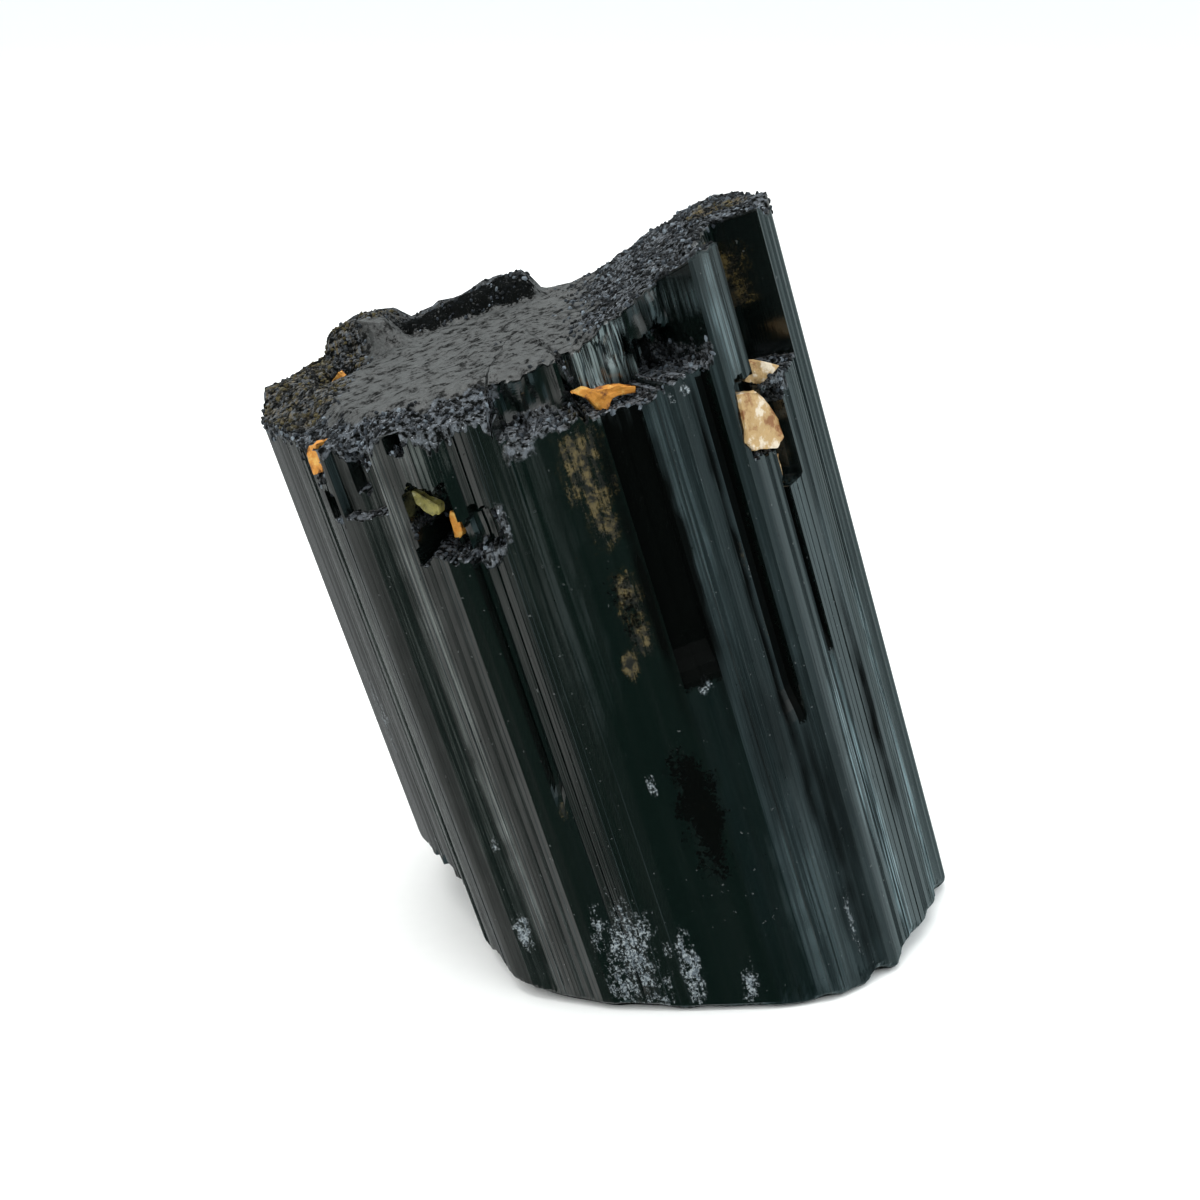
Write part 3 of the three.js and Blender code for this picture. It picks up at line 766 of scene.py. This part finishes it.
# How much unlit black is mixed in: pits, painted shade, painted dark reflections, and a little over the
# whole break.
pit_and_painted_shade_share = (pits + painted_gap_shade + painted_pock_shade + 0.1 * top + graph.point_value("dim")).clear()
print("finishes of the stone:", len(schorl.node_tree.nodes), "nodes")

# %% Colours of the stone, with its painted reflections and painted glint
black = graph.mix(wide_threads.over(0.35, 0.7), (0.0008, 0.0022, 0.0017), (0.0026, 0.0044, 0.0038))
# The painted reflections take a warm grey tint on the left and a cool blue one on the right, as the walls of
# the room would give.
to_the_right = graph.add("ShaderNodeSeparateXYZ", None, {"Vector": spot}).over(-0.016, 0.0)
painted_sheen_tint = graph.mix(to_the_right, (0.215, 0.235, 0.225), (0.19, 0.265, 0.285))
painted_sheen_lines = graph.mix(threads.over(0.42, 0.62), (0.005, 0.007, 0.0075), painted_sheen_tint)
black_with_painted_sheen = graph.mix((graph.point_value("sheen") * 1.1).clear(), black, painted_sheen_lines)
dusty = graph.mix(dust * 0.35, black_with_painted_sheen, (0.16, 0.17, 0.17))
broken = graph.mix(coarse.over(0.38, 0.66), (0.002, 0.0025, 0.0025), (0.020, 0.024, 0.024))
grey = graph.mix(top, dusty, broken)
crumbly = graph.mix(grain.over(0.42, 0.68), (0.006, 0.0072, 0.009), (0.10, 0.115, 0.135))
sparkling = graph.mix(speckle.over(0.60, 0.72) * 0.8, crumbly, (0.40, 0.43, 0.47))
stone = graph.mix(crust, grey, sparkling)
# The ochre colour of the stains, also used for the glint painted in the slot.
ochre_stain_and_glint = graph.mix(coarse.over(0.44, 0.62), (0.009, 0.007, 0.004), (0.125, 0.088, 0.026))
stained_and_glinting = graph.mix(stain * 0.85, stone, ochre_stain_and_glint)
bruise = graph.mix(speckle.over(0.45, 0.62), (0.075, 0.10, 0.125), (0.34, 0.38, 0.40))
scuffed = graph.mix(scuff * 0.85, stained_and_glinting, bruise)
print("colours of the stone:", len(schorl.node_tree.nodes), "nodes")

# %% Surface of the stone
RELIEF_DEPTH = 0.00016
polish = 0.09 + 0.10 * wide_threads.over(0.4, 0.75)
dull = 0.42 * top + 0.5 * crust + 0.3 * stain + 0.4 * scuff
relief = threads * 0.14 * (1 - crust) + (crust + top) * (grain + speckle * 0.3) + scuff * 0.25
bump = graph.add("ShaderNodeBump", None, {"Height": relief, "Distance": RELIEF_DEPTH, "Strength": 0.7})
glassy = graph.add("ShaderNodeBsdfPrincipled", None, {
    "Base Color": scuffed, "Roughness": (polish + dull).clear(), "IOR": TOURMALINE_IOR, "Normal": bump})
unlit = graph.add("ShaderNodeBsdfPrincipled", None, {
    "Base Color": (0.0018, 0.0022, 0.002, 1), "Roughness": 0.9, "Specular IOR Level": 0.0})
# The unlit black is mixed in as painted shade.
surface = graph.add("ShaderNodeMixShader", None, {0: pit_and_painted_shade_share * 0.96, 1: glassy, 2: unlit})
graph.add("ShaderNodeOutputMaterial", None, {"Surface": surface})
print("schorl:", len(schorl.node_tree.nodes), "nodes")

# %% [markdown]
# ## Turning the striae
# The skin still has plain bands. A Geometry Nodes tree turns each stria about its own middle line: a
# point moves out or in by its reach from that line times the stria's tilt. The tilt wavers slowly along
# the crystal, so that a streak of light fades and comes back, as it does on a grown face. The same could
# be done in Python, but as nodes the depth can be tried out live.

# %% Start, end and run a geometry tree
def new_geometry_tree(name, inputs):
    """An empty geometry tree with named inputs, and the identifiers of their sockets."""
    tree = bpy.data.node_groups.new(name, "GeometryNodeTree")
    tree.interface.new_socket("Geometry", in_out="INPUT", socket_type="NodeSocketGeometry")
    identifiers = {}
    for label, kind in inputs.items():
        socket = tree.interface.new_socket(label, in_out="INPUT", socket_type=kind)
        identifiers[label] = socket.identifier
    tree.interface.new_socket("Geometry", in_out="OUTPUT", socket_type="NodeSocketGeometry")
    graph = Graph(tree)
    return tree, graph, graph.add("NodeGroupInput"), identifiers


def kept_value(graph, name, kind="FLOAT"):
    """A number or vector kept on the points, inside a geometry tree."""
    return graph.add("GeometryNodeInputNamedAttribute", {"data_type": kind}, {"Name": name})


def end_tree(graph, geometry, material):
    """Ends a geometry tree in real, dressed geometry."""
    real = graph.add("GeometryNodeRealizeInstances", None, {"Geometry": geometry})
    dressed = graph.add("GeometryNodeSetMaterial", None, {"Geometry": real, "Material": material})
    graph.add("NodeGroupOutput", None, {"Geometry": dressed})


def grow(name, mesh, tree, identifiers, values):
    """Runs a geometry tree on a mesh and keeps the result as a plain mesh object."""
    piece = bpy.data.objects.new(name, mesh)
    bpy.context.scene.collection.objects.link(piece)
    modifier = piece.modifiers.new(name, "NODES")
    modifier.node_group = tree
    for label, value in values.items():
        modifier[identifiers[label]] = value
    evaluated = piece.evaluated_get(bpy.context.evaluated_depsgraph_get())
    grown = bpy.data.meshes.new_from_object(evaluated)
    piece.modifiers.remove(modifier)
    piece.data = grown
    grown.name = name
    return piece


print("geometry helpers ready")

# %% Geometry Nodes: turn the striae
STRIA_DEPTH = 1.0
WAVER = 0.5
WAVER_SCALE = 90.0
STRIA_SEED = 3.0

stria_tree, graph, group, stria_inputs = new_geometry_tree("turned_striae", {
    "Depth": "NodeSocketFloat", "Waver": "NodeSocketFloat", "Waver Scale": "NodeSocketFloat",
    "Seed": "NodeSocketFloat", "Material": "NodeSocketMaterial",
})
tilt = kept_value(graph, "tilt")
where = graph.add("GeometryNodeInputPosition")
waver = graph.add(
    "ShaderNodeTexNoise", {"noise_dimensions": "4D"},
    {"Vector": where, "W": tilt * 40 + group.out("Seed"), "Scale": group.out("Waver Scale"), "Detail": 1.0})
steady = 1 + (waver - 0.5) * 2 * group.out("Waver")
sink = kept_value(graph, "half_width") * tilt.math("ABSOLUTE")
rise = (kept_value(graph, "reach") * tilt + sink) * steady * group.out("Depth") * -1
push = graph.add("ShaderNodeVectorMath", {"operation": "SCALE"},
                 {0: kept_value(graph, "outward", "FLOAT_VECTOR"), "Scale": rise})
turned = graph.add("GeometryNodeSetPosition", None, {"Geometry": group, "Offset": push})
end_tree(graph, turned, group.out("Material"))

crystal = grow("tourmaline_crystal", skin_mesh, stria_tree, stria_inputs, {
    "Depth": STRIA_DEPTH, "Waver": WAVER, "Waver Scale": WAVER_SCALE, "Seed": STRIA_SEED,
    "Material": schorl,
})
print("crystal:", len(crystal.data.vertices), "points")


# %% Place the crystal
def keep_inside(piece):
    """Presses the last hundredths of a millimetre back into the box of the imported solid."""
    places = np.zeros((len(piece.data.vertices), 3), np.float32)
    piece.data.vertices.foreach_get("co", places.ravel())
    inside = np.clip(places, cad_box[0], cad_box[1]).astype(np.float32)
    piece.data.vertices.foreach_set("co", inside.ravel())
    piece.data.update()


keep_inside(crystal)
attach(crystal, "root")
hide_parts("crystal")
print("the crystal rides on the root")

# %% [markdown]
# ## The crust of small crystals
# Where the stone broke it is covered with tiny angular grains that catch the light. Modelling thousands of
# them by hand is hopeless; a Geometry Nodes tree scatters one faceted grain over the skin, more of them
# where the points are marked as gritty, each with its own size, turn and shade. The seed is fixed, so the
# crust is the same every time.

# %% Material of the crust grains
FLECK_DEPTH = 0.00008
crumb, graph = new_material("crust_crumb")
shade = graph.point_value("shade")
spot = graph.add("ShaderNodeTexCoord", None, None, out="Object")
fleck = graph.noise(spot, 5200.0, 3.0)
cloud_share = graph.noise(spot, 900.0, 2.0).over(0.46, 0.64)
dark_or_pale = graph.add("ShaderNodeValToRGB", {"stops": [
    (0.0, (0.002, 0.0025, 0.003)), (0.55, (0.012, 0.0145, 0.0175)), (0.8, (0.028, 0.035, 0.044)),
    (1.0, (0.17, 0.20, 0.23))]}, {"Fac": (shade + 0.3 * (fleck - 0.5)).clear()})
earthy = graph.mix(cloud_share, (0.003, 0.003, 0.0025), (0.085, 0.068, 0.026))
# Grains turn ochre over iron stains, and in the slot where a glint is painted.
tinted = graph.mix(graph.point_value("stain").over(0.15, 0.6) * 0.8, dark_or_pale, earthy)
crumb_sockets = {
    "Base Color": tinted, "Roughness": 0.48 + 0.4 * fleck, "IOR": TOURMALINE_IOR, "Specular IOR Level": 0.12,
}
finish_surface(graph, crumb_sockets, height=fleck, depth=FLECK_DEPTH, bump_strength=0.5)
print("crust crumb material ready")

# %% Geometry Nodes: scatter the crust
GRAIN_DENSITY = 11.0e6
GRAIN_SMALL = 0.00006
GRAIN_LARGE = 0.00026
GRAIN_SEED = 11
TURN_SEED = 5
SHADE_SEED = 9
CLUMP_SCALE = 800.0
FULL_TURN = 6.283

crust_tree, graph, group, crust_inputs = new_geometry_tree("scattered_crust", {
    "Density": "NodeSocketFloat", "Smallest": "NodeSocketFloat", "Largest": "NodeSocketFloat",
    "Seed": "NodeSocketInt", "Material": "NodeSocketMaterial",
})
clumps = graph.add("ShaderNodeTexNoise", None, {"Scale": CLUMP_SCALE, "Detail": 2.0})
gritty = kept_value(graph, "grit") * clumps.over(0.38, 0.6)
points = graph.add("GeometryNodeDistributePointsOnFaces", {"distribute_method": "RANDOM"},
                   {"Mesh": group, "Density": gritty * group.out("Density"), "Seed": group.out("Seed")})
facets = graph.add("GeometryNodeMeshIcoSphere", None, {"Radius": 1.0, "Subdivisions": 1})
any_size = graph.add("FunctionNodeRandomValue", {"data_type": "FLOAT"}, None, out=1)
size_node = any_size.socket.node
for label, source in (("Min", group.out("Smallest")), ("Max", group.out("Largest"))):
    sockets = [socket for socket in size_node.inputs if socket.name == label and socket.type == "VALUE"]
    crust_tree.links.new(source.socket, sockets[0])
lengths = {"X": any_size, "Y": any_size * 0.8, "Z": any_size * 0.55}
flatness = graph.add("ShaderNodeCombineXYZ", None, lengths)
any_turn = graph.add("FunctionNodeRandomValue", {"data_type": "FLOAT_VECTOR"},
                     {0: (0.0, 0.0, 0.0), 1: (FULL_TURN, FULL_TURN, FULL_TURN), "Seed": TURN_SEED}, out=0)
grains = graph.add("GeometryNodeInstanceOnPoints", None,
                   {"Points": points, "Instance": facets, "Rotation": any_turn, "Scale": flatness})
any_shade = graph.add("FunctionNodeRandomValue", {"data_type": "FLOAT"}, {"Seed": SHADE_SEED}, out=1)
shaded = graph.add("GeometryNodeStoreNamedAttribute", {"data_type": "FLOAT", "domain": "INSTANCE"},
                   {"Geometry": grains, "Name": "shade", "Value": any_shade})
end_tree(graph, shaded, group.out("Material"))

crust_grains = grow("crust_grains", crystal.data.copy(), crust_tree, crust_inputs, {
    "Density": GRAIN_DENSITY, "Smallest": GRAIN_SMALL, "Largest": GRAIN_LARGE, "Seed": GRAIN_SEED,
    "Material": crumb,
})
crust_grains.data.shade_flat()
keep_inside(crust_grains)
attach(crust_grains, "root")
print("crust:", len(crust_grains.data.polygons), "facets")

# %% [markdown]
# ## Grains of other minerals
# Cream feldspar, orange ochre and a yellow mica flake sit in the pits. Each is a broken flake: an outline
# drawn from the photograph, given thickness, cut fine, and roughened with noise so that its faces are
# uneven and its edges worn. Each is placed by bearing, height and inset on the prism, and the imported
# solid of the same name is hidden.


# %% Materials of the grains
def earthy_material(name, dark, main, pale, roughness):
    """A dull mineral with patches of three colours and fine pits."""
    material, graph = new_material(name)
    spot = graph.add("ShaderNodeTexCoord", None, None, out="Object")
    patches = graph.noise(spot, 900.0, 4.0, 0.6)
    pits = graph.noise(spot, 4200.0, 4.0, 0.7)
    colour = graph.add("ShaderNodeValToRGB", {"stops": [
        (0.38, dark), (0.47, main), (0.54, main), (0.62, pale)]}, {"Fac": patches})
    worn = graph.mix(pits.over(0.58, 0.75) * 0.5, colour, dark)
    finish_surface(graph, {"Base Color": worn, "Roughness": roughness + 0.2 * pits, "IOR": 1.53},
                   height=pits + 0.6 * patches, depth=0.00012, bump_strength=0.8)
    return material


feldspar = earthy_material("feldspar", (0.24, 0.095, 0.025), (0.44, 0.285, 0.12), (0.66, 0.56, 0.43), 0.55)
ochre = earthy_material("ochre", (0.16, 0.05, 0.008), (0.52, 0.21, 0.02), (0.58, 0.33, 0.07), 0.6)
mica = earthy_material("mica", (0.08, 0.07, 0.025), (0.26, 0.235, 0.065), (0.48, 0.45, 0.26), 0.4)
print("three minerals ready")

# %% Outlines of the grains
# name, bearing, height, inset, thickness, the bearing it faces, and its edge in millimetres
FLAKES = [
    ("feldspar_plate", 48.3, 37.4, 0.4, 1.6, 48.3,
     [(-1.3, 2.4), (-1.7, -0.8), (-1.2, -1.5), (0.9, -2.2), (1.8, -1.8), (1.9, -0.5), (0.6, 1.95)]),
    ("feldspar_cap", 58.5, 39.6, 1.2, 1.3, 24,
     [(-0.5, 1), (-1.1, 0.05), (-1.15, -0.65), (-0.3, -0.75), (0.75, -0.45), (1.6, 0), (1.1, 0.35),
      (0.2, 0.9)]),
    ("feldspar_chip", 55.3, 33.5, 1.4, 0.9, 55.3,
     [(-0.15, 1), (-0.65, 0.1), (-1.1, -0.5), (-0.3, -0.5), (0.65, -1.05), (0.7, -0.5), (0.9, 0.6),
      (0.3, 0.5)]),
    ("ochre_flake_front", 18.6, 42.7, 2.2, 1.0, 18.6,
     [(-1.8, 0.8), (-0.95, 0.05), (-0.6, -0.85), (0, -0.95), (0.5, -0.35), (2, -0.6), (2.1, -0.1),
      (0.6, 0.5), (-0.25, 0.5), (-1, 0.9)]),
    ("ochre_flake_left", -18.6, 37.7, 1.9, 0.9, -18.6,
     [(-0.05, 1), (-0.4, 0.65), (-0.3, -0.1), (-0.5, -0.8), (-0.05, -1.05), (0.35, -0.65), (0.35, 0.7)]),
    ("mica_flake_left", -23.2, 39.6, 1.5, 0.8, -23.2,
     [(-0.9, 0.95), (-0.7, 0.3), (-0.3, -0.3), (0.35, -1), (0.95, -0.9), (1.15, -0.35), (0.45, 0.3),
      (-0.2, 0.9)]),
    ("ochre_grain_edge", -41.8, 43.7, 0.5, 1.2, -41.8,
     [(-0.2, 0.95), (-0.75, 0.35), (-0.7, -0.25), (-0.7, -1.1), (0.3, -0.95), (0.9, -0.15), (0.6, 0.35),
      (0.8, 1)]),
    ("ochre_flake_top", -97, 44.9, 5.6, 0.8, -12,
     [(-0.5, 0.15), (-0.95, -0.5), (-0.5, -1.1), (0.5, -1), (0.75, 0.1), (0.4, 0.75)]),
]
print(len(FLAKES), "grains")

# %% Shape and place the grains
MINERALS = {"feldspar": feldspar, "ochre": ochre, "mica": mica}
FLAKE_CUTS = 3
FLAKE_EDGE = 0.1
# A nudge of half a micrometre while the faces are cut, so that no two diagonals tie and each run cuts
# them alike. The points go back afterwards.
TIE_BREAK = 0.0005
FLAKE_ROUGHNESS = 0.12


def flake_mesh(name, edge, thick, seed):
    """A closed flake with worn edges and uneven faces, its broad face towards +Z."""
    mesh = bmesh.new()
    back = mesh.faces.new([mesh.verts.new((x, y, -thick / 2)) for x, y in edge])
    lifted = bmesh.ops.extrude_face_region(mesh, geom=[back])["geom"]
    raised = [part for part in lifted if isinstance(part, bmesh.types.BMVert)]
    bmesh.ops.translate(mesh, verts=raised, vec=(0, 0, thick))
    bmesh.ops.recalc_face_normals(mesh, faces=mesh.faces)
    bmesh.ops.bevel(mesh, geom=mesh.edges[:], offset=FLAKE_EDGE, segments=2, affect="EDGES", profile=0.6)
    still = [point.co.copy() for point in mesh.verts]
    for point in mesh.verts:
        point.co.x += TIE_BREAK * math.sin(50 * point.co.y + 31 * point.co.z)
    bmesh.ops.triangulate(mesh, faces=mesh.faces)
    for point, place in zip(mesh.verts, still):
        point.co = place
    bmesh.ops.subdivide_edges(mesh, edges=mesh.edges[:], cuts=FLAKE_CUTS, use_grid_fill=True)
    bmesh.ops.triangulate(mesh, faces=mesh.faces)
    mesh.normal_update()
    for point in mesh.verts:
        x, y, z = point.co
        broad = lumps(x / 0.5 + seed, y / 0.5 + 3 * z, seed)
        fine = lumps(x / 0.2, y / 0.2 + 5 * z, seed + 1)
        bumps = broad + 0.5 * fine
        point.co -= point.normal * FLAKE_ROUGHNESS * (0.7 + 1.1 * max(-0.5, float(bumps)))
    made = bpy.data.meshes.new(name)
    mesh.to_mesh(made)
    mesh.free()
    return made


for seed, (node, bearing, height, inset, thick, facing, edge) in enumerate(FLAKES):
    mesh = flake_mesh(node + "_stone", edge, thick, seed)
    local = np.array([point.co for point in mesh.vertices])
    out_x, out_y = outward(facing)
    middle = outward(bearing) * (section_radius(bearing) - inset)
    placed = np.stack([
        middle[0] - out_y * local[:, 0] + out_x * local[:, 2],
        middle[1] + out_x * local[:, 0] + out_y * local[:, 2],
        height + local[:, 1],
    ], axis=1)
    mesh.vertices.foreach_set("co", lean_over(placed).ravel())
    mesh.update()
    slot_name = node.split("_")[0]
    mesh.materials.append(MINERALS[slot_name])
    stone = bpy.data.objects.new(node + "_stone", mesh)
    bpy.context.scene.collection.objects.link(stone)
    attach(stone, "root")
    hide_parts(node)
    print(stone.name, len(mesh.polygons), "facets")

# %% [markdown]
# ## Floor, light and camera
# Black glass shows little of itself and much of its surroundings, so the light is half of its look. Soft
# lamps above light the crust. What the prism faces mirror is the room low down: dim in front, a warm wall
# on the left, a cool one on the right. That room is the world behind the floor, and the floor is
# left out of the mirrored rays, so it stays pale without washing out the black faces. The floor is a wide
# disc that curls up at its rim, and past it the room looks plain white, so no horizon shows.

# %% Floor
# radius and height of the floor's rings, in metres
SWEEP = [(0.5, 0.0), (2.0, 0.0), (5.0, 0.0), (5.4, 0.08), (5.65, 0.3), (5.8, 0.8), (5.85, 2.4)]
SWEEP_SIDES = 72
around_floor = np.linspace(0, 2 * math.pi, SWEEP_SIDES, endpoint=False)
sweep_points = [(0.0, 0.0, 0.0)]
for radius, height in SWEEP:
    sweep_points += [(radius * math.cos(turn), radius * math.sin(turn), height) for turn in around_floor]
sweep_faces = [(0, 1 + side, 1 + (side + 1) % SWEEP_SIDES) for side in range(SWEEP_SIDES)]
for ring in range(len(SWEEP) - 1):
    inner, outer = 1 + ring * SWEEP_SIDES, 1 + (ring + 1) * SWEEP_SIDES
    for side in range(SWEEP_SIDES):
        beside = (side + 1) % SWEEP_SIDES
        sweep_faces.append((inner + side, outer + side, outer + beside, inner + beside))
floor_mesh = bpy.data.meshes.new("floor")
floor_mesh.from_pydata(sweep_points, [], sweep_faces)
floor_mesh.shade_smooth()
floor = bpy.data.objects.new("floor", floor_mesh)
bpy.context.scene.collection.objects.link(floor)
floor.visible_glossy = False
paper, graph = new_material("pale_paper")
spot = graph.add("ShaderNodeTexCoord", None, None, out="Object")
fibre = graph.noise(spot, 900.0, 3.0)
paper_colour = graph.mix(fibre, (0.93, 0.93, 0.93), (0.96, 0.96, 0.955))
finish_surface(graph, {"Base Color": paper_colour, "Roughness": 0.9})
floor.data.materials.append(paper)
print("floor at", floor.location.z)

# %% Room
# share of the way round from the back, by the left, and the light of the wall there
WALLS = [
    (0.0, (0.4, 0.42, 0.42)), (0.12, (0.2, 0.21, 0.21)), (0.17, (0.75, 0.76, 0.75)),
    (0.23, (0.25, 0.26, 0.26)), (0.29, (0.95, 0.99, 0.96)), (0.335, (0.3, 0.32, 0.31)),
    (0.37, (1.2, 1.23, 1.19)), (0.40, (0.93, 0.97, 0.94)), (0.435, (0.13, 0.17, 0.155)),
    (0.5, (0.045, 0.10, 0.08)), (0.55, (0.045, 0.10, 0.09)), (0.59, (0.12, 0.22, 0.24)),
    (0.63, (0.55, 0.80, 0.86)), (0.67, (0.08, 0.14, 0.155)), (0.72, (0.60, 0.82, 0.87)),
    (0.76, (0.08, 0.13, 0.145)), (0.82, (0.80, 1.02, 1.06)), (0.87, (0.12, 0.18, 0.19)),
    (0.92, (0.35, 0.43, 0.44)), (1.0, (0.4, 0.42, 0.42)),
]
SKY = (1.08, 1.14, 1.14)
world = bpy.data.worlds.new("room")
bpy.context.scene.world = world
world.use_nodes = True
graph = Graph(world.node_tree)
way = graph.add("ShaderNodeTexCoord", None, None, out="Generated")
parts = graph.add("ShaderNodeSeparateXYZ", None, {"Vector": way})
around = parts.out("X").math("ARCTAN2", parts.out("Y") * -1) / (2 * math.pi) + 0.5
walls = graph.add("ShaderNodeValToRGB", {"stops": WALLS}, {"Fac": around})
sky = parts.out("Z").over(0.02, 0.35)
room_light = graph.mix(sky, walls, SKY)
straight_on = graph.add("ShaderNodeLightPath", None, None, out="Is Camera Ray")
seen_room = graph.mix(straight_on, room_light, (1.0, 1.0, 1.0))
shine = graph.add("ShaderNodeBackground", None, {"Color": seen_room, "Strength": 1.0})
graph.add("ShaderNodeOutputWorld", None, {"Surface": shine})
print("room ready")

# %% Lamps
LAMPS_AIM = (0, 0, 0.025)
# name, place, size, power and colour
LAMPS = [
    ("lamp_above", (-0.10, 0.05, 0.55), 0.5, 2.4, (1.0, 0.99, 0.97)),
    ("lamp_left", (-0.45, -0.25, 0.40), 0.3, 1.0, (1.0, 0.96, 0.92)),
    ("lamp_right", (0.45, 0.05, 0.35), 0.3, 0.8, (0.90, 0.96, 1.0)),
]
for name, spot_at, size, power, colour in LAMPS:
    light = bpy.data.lights.new(name, "AREA")
    light.size = size
    light.energy = power
    light.color = colour
    lamp = bpy.data.objects.new(name, light)
    lamp.location = spot_at
    aim = Vector(LAMPS_AIM) - Vector(spot_at)
    lamp.rotation_euler = aim.to_track_quat("-Z", "Y").to_euler()
    bpy.context.scene.collection.objects.link(lamp)
print(len(LAMPS), "lamps")

# %% Camera
CAMERA_AT = (-0.00740, -0.11675, 0.06749)
CAMERA_DIP = 20.83
CAMERA_LENS = 51.0
CAMERA_SENSOR = 36.0
camera_data = bpy.data.cameras.new("camera")
camera_data.lens = CAMERA_LENS
camera_data.sensor_width = CAMERA_SENSOR
camera_data.clip_start = 0.005
camera = bpy.data.objects.new("camera", camera_data)
camera.location = CAMERA_AT
camera.rotation_euler = (math.radians(90 - CAMERA_DIP), 0, 0)
bpy.context.scene.collection.objects.link(camera)
bpy.context.scene.camera = camera
bpy.context.scene.view_settings.view_transform = "Standard"
print("camera at", tuple(camera.location))
